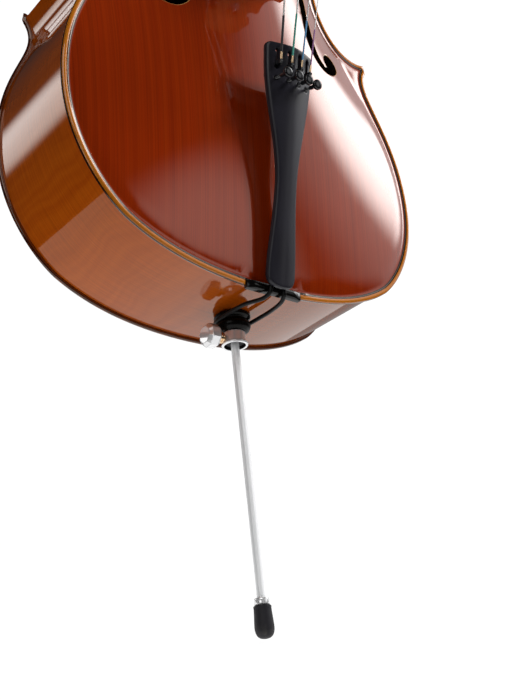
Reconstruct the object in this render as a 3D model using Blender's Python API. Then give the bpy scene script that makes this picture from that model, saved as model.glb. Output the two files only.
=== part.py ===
"""A full-size cello on its endpin, modelled as the separate pieces that a maker would fit together.

Frame: metres, +Z up along the endpin and the body, +X to the treble side, the front faces -Y.
The origin is where the rubber tip meets the floor, on the endpin's axis.
Heights z of the body are counted from the lower edge of the plates, which is BODY_BASE above the floor.
"""

import math

import bpy
import bmesh
import numpy as np
from mathutils import Matrix, Vector
from mathutils.geometry import delaunay_2d_cdt

# Driving dimensions
BODY_BASE = 0.306
BODY_LENGTH = 0.756
LOWER_WIDTH = 0.436
WAIST_WIDTH = 0.240
UPPER_WIDTH = 0.342
LOWER_Z = 0.165
WAIST_Z = 0.415
UPPER_Z = 0.604
RIB_HEIGHT = 0.120
RIB_THICKNESS = 0.0018
OVERHANG = 0.0035
EDGE = 0.0045
TOP_ARCH = 0.028
BACK_ARCH = 0.025
GLUE_BAND = 0.014
END_BAND = 0.030
LINING_THICKNESS = 0.005
LINING_HEIGHT = 0.014
GAP = 0.0003

BRIDGE_Z = 0.356
BRIDGE_HEIGHT = 0.090
BRIDGE_WIDTH = 0.091
BRIDGE_SPREAD = 0.047
BRIDGE_FOOT = 0.0115
BRIDGE_TOP = 0.0027
BRIDGE_BACK = 0.0045
NECK_LENGTH = 0.280
NECK_SLOPE = math.radians(10.5)
OVERSTAND = 0.020
BOARD_LENGTH = 0.580
BOARD_EDGE = 0.006
BOARD_RADIUS = 0.062
NUT_WIDTH = 0.032
BOARD_END_WIDTH = 0.062
NUT_SPREAD = 0.0225
NUT_THICKNESS = 0.007
NUT_RISE = 0.0009
PEGBOX_SLOPE = math.radians(13)

SADDLE_HALF = 0.0325
SADDLE_DEPTH = 0.0075
SADDLE_RISE = 0.003
TAIL_LENGTH = 0.2435
TAIL_TOP_Z = 0.2345
TAIL_TOP_RISE = 0.074
TAIL_LOW_RISE = 0.014
TAIL_THICKNESS = 0.0055

ROD_RADIUS = 0.004
ROD_BORE = 0.00408
ROD_LOW = -0.290
ROD_HIGH = 0.215
BUTTON_BORE = 0.0128
COLLAR_LOW = -0.029
COLLAR_HIGH = -0.0155
CLAMP_ANGLE = math.radians(176)
TIP_HIGH = -0.2775

STRINGS = {"c": -1.5, "g": -0.5, "d": 0.5, "a": 1.5}
STRING_RADIUS = {"c": 0.00095, "g": 0.00075, "d": 0.0006, "a": 0.0005}
PEG_PLACE = {"c": 0.026, "a": 0.048, "g": 0.077, "d": 0.099}
SLOT_PITCH = 0.0125


def material(name, colour, roughness=0.4, metallic=0.0):
    """A Principled material of one colour."""
    made = bpy.data.materials.new(name)
    made.use_nodes = True
    shader = made.node_tree.nodes["Principled BSDF"]
    shader.inputs["Base Color"].default_value = (*colour, 1)
    shader.inputs["Roughness"].default_value = roughness
    shader.inputs["Metallic"].default_value = metallic
    return made


def mesh_object(name, points, faces, look, sharp=math.radians(35)):
    """A mesh object with its faces turned outwards, smooth apart from its sharp edges."""
    mesh = bpy.data.meshes.new(name)
    mesh.from_pydata([tuple(p) for p in points], [], [tuple(int(i) for i in f) for f in faces])
    shape = bmesh.new()
    shape.from_mesh(mesh)
    bmesh.ops.recalc_face_normals(shape, faces=shape.faces)
    shape.to_mesh(mesh)
    shape.free()
    mesh.materials.append(look)
    mesh.shade_smooth()
    mesh.set_sharp_from_angle(angle=sharp)
    made = bpy.data.objects.new(name, mesh)
    bpy.context.scene.collection.objects.link(made)
    return made


def boolean(body, tool, operation="DIFFERENCE"):
    """Cuts the tool from the body, or joins it on, and keeps the tool as a hidden helper."""
    tool.hide_render = True
    tool.display_type = "WIRE"
    step = body.modifiers.new(tool.name, "BOOLEAN")
    step.object = tool
    step.operation = operation
    step.solver = "EXACT"
    return body


def bezier(start, lead, pull, end, count):
    """Points on a cubic curve from start up to, but not including, end."""
    t = np.linspace(0, 1, count, endpoint=False)[:, None]
    start, lead, pull, end = map(np.array, (start, lead, pull, end))
    return (1 - t) ** 3 * start + 3 * (1 - t) ** 2 * t * lead + 3 * (1 - t) * t**2 * pull + t**3 * end


def inside(points, loop):
    """Which points lie inside a closed loop, by the even-odd rule."""
    x, z = points[:, 0][:, None], points[:, 1][:, None]
    x1, z1 = loop[:, 0], loop[:, 1]
    x2, z2 = np.roll(x1, -1), np.roll(z1, -1)
    crosses = (z1 > z) != (z2 > z)
    with np.errstate(divide="ignore", invalid="ignore"):
        at = x1 + (z - z1) * (x2 - x1) / (z2 - z1)
    return (crosses & (x < at)).sum(1) % 2 == 1


def distance(points, loop):
    """The distance of each point from a closed loop's edges."""
    a, b = loop, np.roll(loop, -1, axis=0)
    along = b - a
    t = ((points[:, None] - a) * along).sum(2) / np.maximum((along**2).sum(1), 1e-12)
    nearest = a + np.clip(t, 0, 1)[..., None] * along
    return np.linalg.norm(points[:, None] - nearest, axis=2).min(1)


def slab(name, outline, holes, spacing, lift, look):
    """A closed body over a flat outline with holes. lift(points, side) gives the places of its two faces."""
    loops = [np.array(outline), *[np.array(hole) for hole in holes]]
    low, high = loops[0].min(0), loops[0].max(0)
    rows = np.arange(low[1] + spacing / 2, high[1], spacing * math.sqrt(0.75))
    grid = [
        (x, z)
        for i, z in enumerate(rows)
        for x in np.arange(-spacing * (30 + 0.5 * (i % 2)), spacing * 31, spacing) + (low[0] + high[0]) / 2
    ]
    grid = np.array(grid)
    keep = inside(grid, loops[0])
    for i, loop in enumerate(loops):
        keep &= distance(grid, loop) > spacing * (0.6 if i == 0 else 0.35)
        keep &= ~inside(grid, loop) if i else True
    points = np.vstack([*loops, grid[keep]])
    edges, start = [], 0
    for loop in loops:
        edges += [(start + i, start + (i + 1) % len(loop)) for i in range(len(loop))]
        start += len(loop)
    places, _, faces, *_ = delaunay_2d_cdt([Vector(p) for p in points], edges, [], 0, 1e-7)
    flat, faces = np.array(places), np.array(faces)
    centres = flat[faces].mean(1)
    real = inside(centres, loops[0])
    for loop in loops[1:]:
        real &= ~inside(centres, loop)
    faces = faces[real]
    count = len(flat)
    walls = [(a, b, b + count, a + count) for a, b in edges]
    both = [*faces, *(faces[:, ::-1] + count), *walls]
    return mesh_object(name, np.vstack([lift(flat, 0), lift(flat, 1)]), both, look)


def loft(name, sections, look, sharp=math.radians(35)):
    """A closed body through sections that have the same number of points."""
    count = len(sections[0])
    points = np.vstack(sections)
    faces = [
        (i * count + j, i * count + (j + 1) % count, (i + 1) * count + (j + 1) % count, (i + 1) * count + j)
        for i in range(len(sections) - 1)
        for j in range(count)
    ]
    faces += [tuple(range(count)), tuple(range(len(points) - count, len(points)))]
    return mesh_object(name, points, faces, look, sharp)


def turned(name, profile, segments, place, look):
    """A piece turned round its own z axis. The profile is (radius, z) or (radius, z, flattening) and starts
    and ends on the axis, or closes on itself if the piece has a bore."""
    points, rings = [], []
    for radius, z, *flat in profile:
        squeeze = flat[0] if flat else 1.0
        steps = segments if radius > 0 else 1
        rings.append(list(range(len(points), len(points) + steps)))
        for k in range(steps):
            angle = 2 * math.pi * k / segments
            points.append(place @ Vector((radius * math.cos(angle), radius * squeeze * math.sin(angle), z)))
    bored = profile[0][0] > 0
    faces = []
    for a, b in zip(rings, rings[1:] + rings[:1] if bored else rings[1:]):
        for k in range(segments):
            corners = [a[k % len(a)], a[(k + 1) % len(a)], b[(k + 1) % len(b)], b[k % len(b)]]
            faces.append(list(dict.fromkeys(corners)))
    return mesh_object(name, points, faces, look)


def tube(name, points, radius, look):
    """A round cord or string along its points."""
    curve = bpy.data.curves.new(name, "CURVE")
    curve.dimensions = "3D"
    curve.bevel_depth = radius
    curve.bevel_resolution = 2
    curve.use_fill_caps = True
    line = curve.splines.new("POLY")
    line.points.add(len(points) - 1)
    for point, place in zip(line.points, points):
        point.co = (*place, 1)
    curve.materials.append(look)
    made = bpy.data.objects.new(name, curve)
    bpy.context.scene.collection.objects.link(made)
    return made


def smooth_path(points, count):
    """count points on a smooth curve through the given points, spaced evenly by their index."""
    p = np.array(points)
    p = np.vstack([2 * p[0] - p[1], p, 2 * p[-1] - p[-2]])
    made = []
    for t in np.linspace(0, len(points) - 1, count):
        i = min(int(t), len(points) - 2)
        f = t - i
        a, b, c, d = p[i : i + 4]
        made.append(
            0.5 * (2 * b + (c - a) * f + (2 * a - 5 * b + 4 * c - d) * f**2 + (3 * b - a - 3 * c + d) * f**3)
        )
    return made


# The outline and the arching


def bout_lines(fine=1):
    """The treble half of the outline as three lines of (x, z): the lower bout, the C and the upper bout."""
    lower = np.vstack(
        [
            bezier((0, 0), (0.077, 0), (0.1261, 0.0155), (0.1586, 0.0367), 6 * fine),
            bezier((0.1586, 0.0367), (0.1692, 0.0437), (0.218, 0.086), (0.218, LOWER_Z), 6 * fine),
            bezier((0.218, LOWER_Z), (0.218, 0.2615), (0.161, 0.2937), (0.187, 0.3285), 9 * fine),
            [(0.187, 0.3285)],
        ]
    )
    middle = np.vstack(
        [
            bezier((0.185, 0.3385), (0.156, 0.327), (0.120, 0.3555), (0.120, WAIST_Z), 8 * fine),
            bezier((0.120, WAIST_Z), (0.120, 0.466), (0.127, 0.5075), (0.1505, 0.503), 7 * fine),
            [(0.1505, 0.503)],
        ]
    )
    upper = np.vstack(
        [
            bezier((0.1525, 0.5125), (0.137, 0.538), (0.171, 0.560), (0.171, UPPER_Z), 7 * fine),
            bezier((0.171, UPPER_Z), (0.171, 0.668), (0.1306, 0.7177), (0.121, 0.7250), 6 * fine),
            bezier((0.121, 0.7250), (0.0954, 0.7443), (0.060, 0.756), (0, BODY_LENGTH), 6 * fine),
            [(0, BODY_LENGTH)],
        ]
    )
    return lower, middle, upper


def mirrored(points):
    return np.array(points) * (-1, 1)


def offset(line, amount):
    """The line moved inwards, which is to the left of its direction."""
    along = np.gradient(line, axis=0)
    along /= np.linalg.norm(along, axis=1)[:, None]
    return line + amount * np.column_stack([-along[:, 1], along[:, 0]])


def run_length(line):
    return float(np.linalg.norm(np.diff(line, axis=0), axis=1).sum())


def trimmed(line, start=0.0, end=0.0):
    """The line without its first start and last end metres."""
    steps = np.concatenate([[0], np.cumsum(np.linalg.norm(np.diff(line, axis=0), axis=1))])
    keep = (steps > start + 1e-4) & (steps < steps[-1] - end - 1e-4)
    ends = [[np.interp(s, steps, line[:, k]) for k in (0, 1)] for s in (start, steps[-1] - end)]
    return np.vstack([ends[0], line[keep], ends[1]])


def arch_width(z):
    """The half width that the arching fills at height z: the outline with its corners smoothed away."""
    low = LOWER_WIDTH / 2 * np.maximum(1 - np.abs((LOWER_Z - z) / LOWER_Z) ** 2.45, 0) ** (1 / 2.45)
    top = BODY_LENGTH - UPPER_Z
    high = UPPER_WIDTH / 2 * np.maximum(1 - np.abs((z - UPPER_Z) / top) ** 2.45, 0) ** (1 / 2.45)
    down = 0.5 - 0.5 * np.cos(np.pi * np.clip((z - LOWER_Z) / (WAIST_Z - LOWER_Z), 0, 1))
    up = 0.5 - 0.5 * np.cos(np.pi * np.clip((z - WAIST_Z) / (UPPER_Z - WAIST_Z), 0, 1))
    middle = LOWER_WIDTH / 2 + (WAIST_WIDTH - LOWER_WIDTH) / 2 * down + (UPPER_WIDTH - WAIST_WIDTH) / 2 * up
    return np.where(z < LOWER_Z, low, np.where(z > UPPER_Z, high, middle))


def arch(x, z, height, margin=0.0, end_margin=0.0):
    """How far a plate swells out of its edge plane at (x, z)."""
    across = np.abs(x) / np.maximum(arch_width(z) - margin, 0.001)
    along = np.abs(z - BODY_LENGTH / 2) / (BODY_LENGTH / 2 - end_margin)
    return height * np.maximum(1 - across**2, 0) ** 1.2 * np.maximum(1 - along**3, 0) ** 1.2


def plate_lift(height, sign):
    """The outer and the inner face of a plate: sign -1 is the top and +1 is the back."""

    def lift(points, side):
        x, z = points[:, 0], points[:, 1]
        outer = RIB_HEIGHT / 2 + EDGE + arch(x, z, height)
        inner = RIB_HEIGHT / 2 + arch(x, z, height, GLUE_BAND, END_BAND)
        return np.column_stack([x, sign * (inner if side else outer), z + BODY_BASE])

    return lift


def front_y(x, z):
    """Y of the top's outer face."""
    return -float(RIB_HEIGHT / 2 + EDGE + arch(np.array(x), np.array(z), TOP_ARCH))


def flat_lift(low, high):
    """A straight block between two depths y."""
    return lambda points, side: np.column_stack(
        [points[:, 0], np.full(len(points), high if side else low), points[:, 1] + BODY_BASE]
    )


def f_hole(count=5):
    """The treble f-hole as one loop of (x, z). Its upper half is the lower half turned round and shrunk."""
    eye, radius = np.array((0.1140, 0.3020)), 0.0118
    middle = np.array((0.0800, 0.3530))
    turn = np.radians(np.linspace(226, -35, 3 * count))
    stem = bezier((0.0852, 0.3514), (0.0860, 0.3380), (0.0862, 0.3250), (0.0880, 0.3130), count)
    tongue = bezier((0.0880, 0.3130), (0.0898, 0.3020), (0.0950, 0.2925), (0.1040, 0.2915), count)
    round_eye = eye + radius * np.column_stack([np.cos(turn), np.sin(turn)])
    hook = bezier(round_eye[-1], (0.1190, 0.2885), (0.1120, 0.2835), (0.1020, 0.2832), count)[1:]
    heel = bezier((0.1020, 0.2832), (0.0900, 0.2830), (0.0785, 0.2960), (0.0752, 0.3150), count)
    back = bezier((0.0752, 0.3150), (0.0735, 0.3290), (0.0740, 0.3420), (0.0748, 0.3514), count)
    lower = np.vstack([(0.0864, 0.3530), stem, tongue, round_eye, hook, heel, back, (0.0748, 0.3514)])
    arm = lower - middle
    upper = middle - arm * (1 - 0.15 * np.abs(arm[:, 1:]) / 0.07)
    return np.vstack([lower, upper])[::-1]


# The neck's own frame: s runs down the fingerboard from the nut, n stands out of its glue surface

NUT_Z = BODY_LENGTH + NECK_LENGTH * math.cos(NECK_SLOPE)
NUT_POINT = Vector(
    (
        0,
        -(RIB_HEIGHT / 2 + EDGE + OVERSTAND - NECK_LENGTH * math.sin(NECK_SLOPE)),
        NUT_Z + BODY_BASE,
    )
)
BOARD_DOWN = Vector((0, -math.sin(NECK_SLOPE), -math.cos(NECK_SLOPE)))
BOARD_OUT = Vector((0, -math.cos(NECK_SLOPE), math.sin(NECK_SLOPE)))
HEAD_SLOPE = NECK_SLOPE + PEGBOX_SLOPE
HEAD_UP = Vector((0, math.sin(HEAD_SLOPE), math.cos(HEAD_SLOPE)))
HEAD_OUT = Vector((0, -math.cos(HEAD_SLOPE), math.sin(HEAD_SLOPE)))
HEAD_BASE = NUT_POINT - BOARD_DOWN * (NUT_THICKNESS + 0.001) + BOARD_OUT * 0.002


def neck_point(x, s, n):
    return NUT_POINT + Vector((x, 0, 0)) + BOARD_DOWN * s + BOARD_OUT * n


def head_point(x, a, b):
    """a runs up the pegbox's front edge from the nut, and b goes back from it."""
    return HEAD_BASE + Vector((x, 0, 0)) + HEAD_UP * a - HEAD_OUT * b


def board_half(s):
    return (NUT_WIDTH + (BOARD_END_WIDTH - NUT_WIDTH) * s / BOARD_LENGTH) / 2


def board_crown(x, s):
    """Height of the fingerboard's playing surface over its glue surface."""
    half = board_half(s)
    drop = math.sqrt(BOARD_RADIUS**2 - half**2)
    return BOARD_EDGE + math.sqrt(BOARD_RADIUS**2 - x**2) - drop


# Looks

def looks():
    return {
        "top": material("top", (0.33, 0.09, 0.02), 0.12),
        "back": material("back", (0.30, 0.09, 0.02), 0.12),
        "ribs": material("ribs", (0.40, 0.15, 0.03), 0.12),
        "spruce": material("spruce", (0.72, 0.56, 0.35), 0.6),
        "willow": material("willow", (0.68, 0.52, 0.33), 0.6),
        "neck": material("neck", (0.38, 0.15, 0.04), 0.2),
        "bridge": material("bridge", (0.62, 0.42, 0.22), 0.5),
        "ebony": material("ebony", (0.015, 0.013, 0.012), 0.35),
        "composite": material("composite", (0.02, 0.02, 0.022), 0.35),
        "cord": material("cord", (0.02, 0.02, 0.02), 0.5),
        "steel": material("steel", (0.62, 0.62, 0.63), 0.2, 1.0),
        "chrome": material("chrome", (0.8, 0.8, 0.81), 0.08, 1.0),
        "string": material("string", (0.6, 0.6, 0.6), 0.3, 1.0),
        "rubber": material("rubber", (0.03, 0.03, 0.032), 0.6),
    }


# The body


def make_plates(look):
    lower, middle, upper = bout_lines()
    low_start = [(0, SADDLE_DEPTH), (SADDLE_HALF + GAP, SADDLE_DEPTH)]
    neck_half = 0.0215
    neck_cut = BODY_LENGTH - OVERHANG - RIB_THICKNESS
    past_saddle, past_neck = lower[:, 0] > SADDLE_HALF + 0.004, upper[:, 0] > neck_half + 0.004
    side = np.vstack([lower[past_saddle], middle, upper[past_neck]])
    corner = (SADDLE_HALF + GAP, float(np.interp(SADDLE_HALF, lower[:6, 0], lower[:6, 1])))
    shoulder = (neck_half, float(np.interp(-neck_half, -upper[-6:, 0], upper[-6:, 1])))
    half = np.vstack([low_start, [corner], side, [shoulder, (neck_half, neck_cut), (0, neck_cut)]])
    top_loop = np.vstack([half, mirrored(half)[1:-1][::-1]])
    hole = f_hole()
    slab("top_plate", top_loop, [hole, mirrored(hole)[::-1]], 0.030, plate_lift(TOP_ARCH, -1), look["top"])

    button_half, button_rise = 0.0145, 0.020
    bend = np.linspace(0, math.pi / 2, 6)
    rise = button_rise - button_half
    button = np.column_stack([button_half * np.cos(bend), BODY_LENGTH + rise + button_half * np.sin(bend)])
    side = np.vstack([lower, middle, upper[upper[:, 0] > button_half + 0.004]])
    half = np.vstack([side, [(button_half, BODY_LENGTH - 0.0006)], button])
    back_loop = np.vstack([half, mirrored(half)[1:-1][::-1]])
    slab("back_plate", back_loop, [], 0.032, plate_lift(BACK_ARCH, 1), look["back"])


def strip(name, line, near, far, low, high, look):
    """A bent strip of wood between two insets from the line and two depths y."""
    outer, inner = offset(line, near), offset(line, far)
    corners = ((0, low), (0, high), (1, high), (1, low))
    sections = [[(pair[k][0], y, pair[k][1] + BODY_BASE) for k, y in corners] for pair in zip(outer, inner)]
    return loft(name, sections, look)


def rib_lines():
    """The outline's lines that each rib follows, the bass side mirrored and turned round."""
    lower, middle, upper = bout_lines()
    heel = trimmed(upper, 0.0, 0.024)
    whole = np.vstack([mirrored(lower)[:0:-1], lower])
    c_line = trimmed(middle, 0.005, 0.005)
    return {
        "rib_lower": whole,
        "rib_c_treble": c_line,
        "rib_c_bass": mirrored(c_line)[::-1],
        "rib_upper_treble": heel,
        "rib_upper_bass": mirrored(heel)[::-1],
    }


def make_ribs(look):
    depth = RIB_HEIGHT / 2 - GAP
    for name, line in rib_lines().items():
        rib = strip(name, line, OVERHANG, OVERHANG + RIB_THICKNESS, -depth, depth, look["ribs"])
        if name == "rib_lower":
            place = Matrix.Translation((0, 0, BODY_BASE))
            bore = [(0, -0.01), (BUTTON_BORE, -0.01), (BUTTON_BORE, 0.02), (0, 0.02)]
            boolean(rib, turned("rib_bore", bore, 24, place, look["ribs"]))


def make_linings(look):
    """Twelve linings glued inside the ribs' edges, six along the top and six along the back."""
    lower, middle, upper = bout_lines()
    near = OVERHANG + RIB_THICKNESS + GAP
    far = near + LINING_THICKNESS
    high = RIB_HEIGHT / 2 - GAP
    lines = {
        "lower": trimmed(lower, 0.044, 0.060),
        "c": trimmed(middle, 0.052, 0.044),
        "upper": trimmed(upper, 0.054, 0.055),
    }
    for plate, sign in (("top", -1), ("back", 1)):
        for bout, line in lines.items():
            for side, run in (("treble", line), ("bass", mirrored(line)[::-1])):
                low = sign * (high - LINING_HEIGHT)
                strip(f"{plate}_lining_{bout}_{side}", run, near, far, low, sign * high, look["willow"])


def make_blocks(look):
    lower, middle, upper = bout_lines()
    near = OVERHANG + RIB_THICKNESS + GAP
    depth = RIB_HEIGHT / 2 - GAP
    lift = flat_lift(-depth, depth)

    low_wall = offset(np.vstack([mirrored(lower)[:0:-1], lower]), near)
    low_wall = low_wall[(np.abs(low_wall[:, 0]) < 0.038) & (low_wall[:, 1] < 0.03)]
    end_loop = np.vstack([low_wall, [(0.036, 0.036), (-0.036, 0.036)]])
    end = slab("end_block", end_loop, [], 0.02, lift, look["willow"])
    place = Matrix.Translation((0, 0, BODY_BASE))
    bore = [(0, -0.01), (BUTTON_BORE, -0.01), (BUTTON_BORE, 0.05), (0, 0.05)]
    boolean(end, turned("end_bore", bore, 24, place, look["willow"]))

    high_wall = offset(np.vstack([upper, mirrored(upper)[-2::-1]]), near)
    high_wall = high_wall[(np.abs(high_wall[:, 0]) < 0.048) & (high_wall[:, 1] > 0.7)]
    low_edge = BODY_LENGTH - 0.044
    neck_loop = np.vstack([high_wall, [(-0.044, low_edge), (0.044, low_edge)]])
    slab("neck_block", neck_loop, [], 0.02, lift, look["willow"])

    tip, low_arm, high_arm = 0.014, 0.052, 0.038
    low_run, c_run = run_length(lower), run_length(middle)
    corners = {
        "lower": (trimmed(lower, low_run - low_arm, tip), trimmed(middle, tip, c_run - low_arm)),
        "upper": (trimmed(middle, c_run - high_arm, tip), trimmed(upper, tip, run_length(upper) - high_arm)),
    }
    inner_faces = {"lower": (0.150, 0.305), "upper": (0.126, 0.530)}
    for which, (first, second) in corners.items():
        loop = np.vstack([offset(first, near), offset(second, near), [inner_faces[which]]])
        slab(f"{which}_corner_block_treble", loop, [], 0.03, lift, look["willow"])
        slab(f"{which}_corner_block_bass", mirrored(loop)[::-1], [], 0.03, lift, look["willow"])


def make_bass_bar_and_post(look):
    """The bar under the bridge's bass foot and the post behind its treble foot."""
    half_width, clear = 0.0055, 0.0009
    sections = []
    for z in np.linspace(0.090, 0.670, 14):
        x = -0.027 - 0.010 * (0.38 - z) / 0.58
        rise = 0.004 + 0.021 * math.sin(math.pi * (z - 0.090) / 0.580)
        edge = [x - half_width, x + half_width]
        swell = arch(np.array(edge), np.array(z), TOP_ARCH, GLUE_BAND, END_BAND)
        roof = [-float(RIB_HEIGHT / 2 + rise_at - clear) for rise_at in swell]
        sections.append(
            [
                (edge[0], roof[0], z + BODY_BASE),
                (edge[1], roof[1], z + BODY_BASE),
                (edge[1] - 0.0015, max(roof) + rise, z + BODY_BASE),
                (edge[0] + 0.0015, max(roof) + rise, z + BODY_BASE),
            ]
        )
    loft("bass_bar", sections, look["spruce"])

    x, z, radius = 0.031, BRIDGE_Z - 0.018, 0.0055
    ends = []
    for height, sign in ((TOP_ARCH, -1), (BACK_ARCH, 1)):
        ring = []
        for k in range(16):
            px, pz = x + radius * math.cos(k * math.pi / 8), z + radius * math.sin(k * math.pi / 8)
            depth = RIB_HEIGHT / 2 + float(arch(np.array(px), np.array(pz), height, GLUE_BAND, END_BAND))
            ring.append((px, sign * (depth - clear), pz + BODY_BASE))
        ends.append(ring)
    loft("sound_post", ends, look["spruce"])


# The neck, the head and the fingerboard


def neck_section(z, back_y, width_front, width_back, power):
    """A section across the neck at height z, from the fingerboard's surface to back_y."""
    front = NUT_POINT.y + (NUT_Z - z) * -math.tan(NECK_SLOPE)
    depth = back_y - front
    ring = []
    for t in np.linspace(0, math.pi, 13):
        share = max(math.sin(t), 0) ** (2 / power)
        width = width_front + (width_back - width_front) * share
        x = width * math.copysign(abs(math.cos(t)) ** (2 / power), math.cos(t))
        ring.append((x, front + depth * share, z + BODY_BASE))
    return ring


def make_neck(look):
    heel_top, heel_low = BODY_LENGTH + 0.085, BODY_LENGTH + 0.018
    back = RIB_HEIGHT / 2 - GAP

    def glue_y(z):
        return NUT_POINT.y - (NUT_Z - z) * math.tan(NECK_SLOPE)

    sections = []
    for z in np.linspace(NUT_Z + 0.012, heel_top, 7):
        s = max((NUT_Z - z) / math.cos(NECK_SLOPE), 0)
        half = board_half(s)
        sections.append(neck_section(z, glue_y(z) + 0.0215 + 0.010 * s, half - 0.0004, half * 0.9, 2.1))
    start = sections[-1][6][1]
    for turn in np.linspace(0, math.pi / 2, 9)[1:]:
        z = heel_top - (heel_top - heel_low) * math.sin(turn)
        half = board_half((NUT_Z - z) / math.cos(NECK_SLOPE))
        share = turn / (math.pi / 2)
        back_y = start + (back - start) * (1 - math.cos(turn))
        widths = half - 0.0004 - 0.002 * share, half * 0.9 + (0.0165 - half * 0.9) * share
        sections.append(neck_section(z, back_y, *widths, 2.1 + 2.4 * share))
    foot = BODY_LENGTH - OVERHANG - RIB_THICKNESS + GAP
    sections.append(neck_section(foot, back, 0.0208, 0.0165, 4.5))
    neck = loft("neck", sections, look["neck"])
    boolean(neck, make_head(look), "UNION")
    boolean(neck, pegbox_cavity(look))
    for string in STRINGS:
        boolean(neck, peg_bore(string, look))


SCROLL_CENTRE = (0.157, 0.004)
SCROLL_RADIUS = 0.041
SCROLL_DECAY = 0.105


def scroll_radius(turn):
    """Radius of the volute's edge after it has turned by this angle from the pegbox's back."""
    return SCROLL_RADIUS * math.exp(-SCROLL_DECAY * turn)


def head_half_width(points):
    """Half thickness across the head at (a, b): the pegbox narrows upwards and the volute widens to its eye."""
    a, b = points[:, 0], points[:, 1]
    radius = np.hypot(a - SCROLL_CENTRE[0], b - SCROLL_CENTRE[1])
    box = 0.0245 - 0.0085 * np.clip(a / 0.125, 0, 1)
    volute = 0.031 - 0.0165 * np.clip((radius - 0.007) / 0.030, 0, 1)
    share = np.clip((0.045 - radius) / 0.008, 0, 1)
    return box + (volute - box) * share


def make_head(look):
    turns = np.linspace(0.15, math.radians(285), 18)
    start = math.radians(150)
    volute = [
        (
            SCROLL_CENTRE[0] + scroll_radius(t) * math.cos(start - t),
            SCROLL_CENTRE[1] + scroll_radius(t) * math.sin(start - t),
        )
        for t in turns
    ]
    chin = bezier((0.098, 0.0335), (0.060, 0.041), (0.010, 0.048), (-0.006, 0.0235), 8)
    loop = np.vstack([volute[::-1], chin, [(-0.006, 0.0235), (0.0, 0.0)], [(0.060, 0.0), (0.118, 0.0)]])

    def lift(points, side):
        half = head_half_width(points) * (-1 if side else 1)
        return np.array([head_point(x, a, b) for x, (a, b) in zip(half, points)])

    return slab("head", loop, [], 0.011, lift, look["neck"])


def pegbox_cavity(look):
    """The open trough that the strings wind up in."""
    sections = []
    for a, half, floor in ((0.006, 0.0155, 0.025), (0.060, 0.0125, 0.026), (0.114, 0.0085, 0.0225)):
        corners = ((-half, -0.02), (half, -0.02), (half - 0.001, floor), (-half + 0.001, floor))
        sections.append([head_point(x, a, b) for x, b in corners])
    return loft("pegbox_cavity", sections, look["neck"])


def peg_side(string):
    return -1 if string in "cg" else 1


def peg_frame(string):
    """The peg's own frame: its z axis runs out to the head of the peg."""
    centre = head_point(0, PEG_PLACE[string], 0.0135)
    out = Vector((peg_side(string), 0, 0))
    across = HEAD_OUT
    frame = Matrix((across, out.cross(across), out)).transposed().to_4x4()
    frame.translation = centre
    return frame


def peg_radius(z):
    """The peg's taper, thicker towards its head."""
    return 0.0068 + 0.0010 * z / 0.030


def peg_bore(string, look):
    reach = 0.045
    bore = [(0, -reach), (peg_radius(-reach) + 0.0004, -reach), (peg_radius(reach) + 0.0004, reach), (0, reach)]
    return turned(f"peg_bore_{string}", bore, 16, peg_frame(string), look["neck"])


def make_pegs(look):
    for string in STRINGS:
        place = PEG_PLACE[string]
        wall = float(head_half_width(np.array([(place, 0.0135)]))[0])
        collar = wall + 0.0035
        shaft = [(0, -wall - 0.002), (peg_radius(-wall) - 0.0012, -wall - 0.002), (peg_radius(-wall), -wall)]
        shaft += [(peg_radius(collar), collar), (0.0108, collar + 0.0005), (0.0112, collar + 0.003)]
        thumb = [(0.0085, collar + 0.007, 0.95), (0.0092, collar + 0.011, 0.7), (0.0155, collar + 0.020, 0.42)]
        thumb += [(0.0175, collar + 0.028, 0.38), (0.0150, collar + 0.037, 0.36), (0.0075, collar + 0.043, 0.45)]
        thumb += [(0, collar + 0.0445)]
        turned(f"peg_{string}", [*shaft, *thumb], 16, peg_frame(string), look["ebony"])
        wind = STRING_RADIUS[string]
        middle = 0.5 * peg_side(string) * STRINGS[string] * NUT_SPREAD / 3 - 0.001
        low, high = middle - 2.5 * wind, middle + 2.5 * wind
        inner, outer = peg_radius(high) + GAP, peg_radius(high) + GAP + 2 * wind
        ring = [(inner, low), (outer, low), (outer, high), (inner, high)]
        turned(f"{string}_string_winding", ring, 16, peg_frame(string), look["string"])


def make_fingerboard(look):
    sections = []
    for s in np.linspace(GAP, BOARD_LENGTH, 7):
        half = board_half(s)
        roof = [neck_point(x, s, board_crown(x, s)) for x in np.linspace(half, -half, 9)]
        sections.append([neck_point(-half, s, GAP), neck_point(half, s, GAP), *roof])
    loft("fingerboard", sections, look["ebony"])

    sections = []
    for s, rise in ((0.0, 0.0004), (-0.002, NUT_RISE), (-0.0042, -0.0002), (-NUT_THICKNESS + 0.0006, -0.0022)):
        half = NUT_WIDTH / 2
        roof = [neck_point(x, s, board_crown(x, 0) + rise) for x in np.linspace(half, -half, 9)]
        sections.append([neck_point(-half, s, GAP), neck_point(half, s, GAP), *roof])
    loft("nut", sections, look["ebony"])


# The bridge


def bridge_crown(x):
    """Height of the bridge's upper edge over the top's highest point."""
    return BRIDGE_HEIGHT - (x / 0.026) ** 2 * 0.0085


def bridge_half_outline():
    """The bridge's treble half as (x, height over the top's highest point), without its heart."""
    half = BRIDGE_WIDTH / 2
    crown = [(x, bridge_crown(x)) for x in np.linspace(0, 0.0265, 5)]
    kidney = [(0.031, 0.066), (0.0335, 0.060), (0.030, 0.055), (0.0235, 0.0525), (0.022, 0.046)]
    kidney += [(0.0265, 0.042), (0.033, 0.040)]
    side = [(0.0345, 0.034), (0.032, 0.026), (0.033, 0.014), (0.038, 0.007), (half, 0.004)]
    return np.array([*crown, *kidney, *side])


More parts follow.
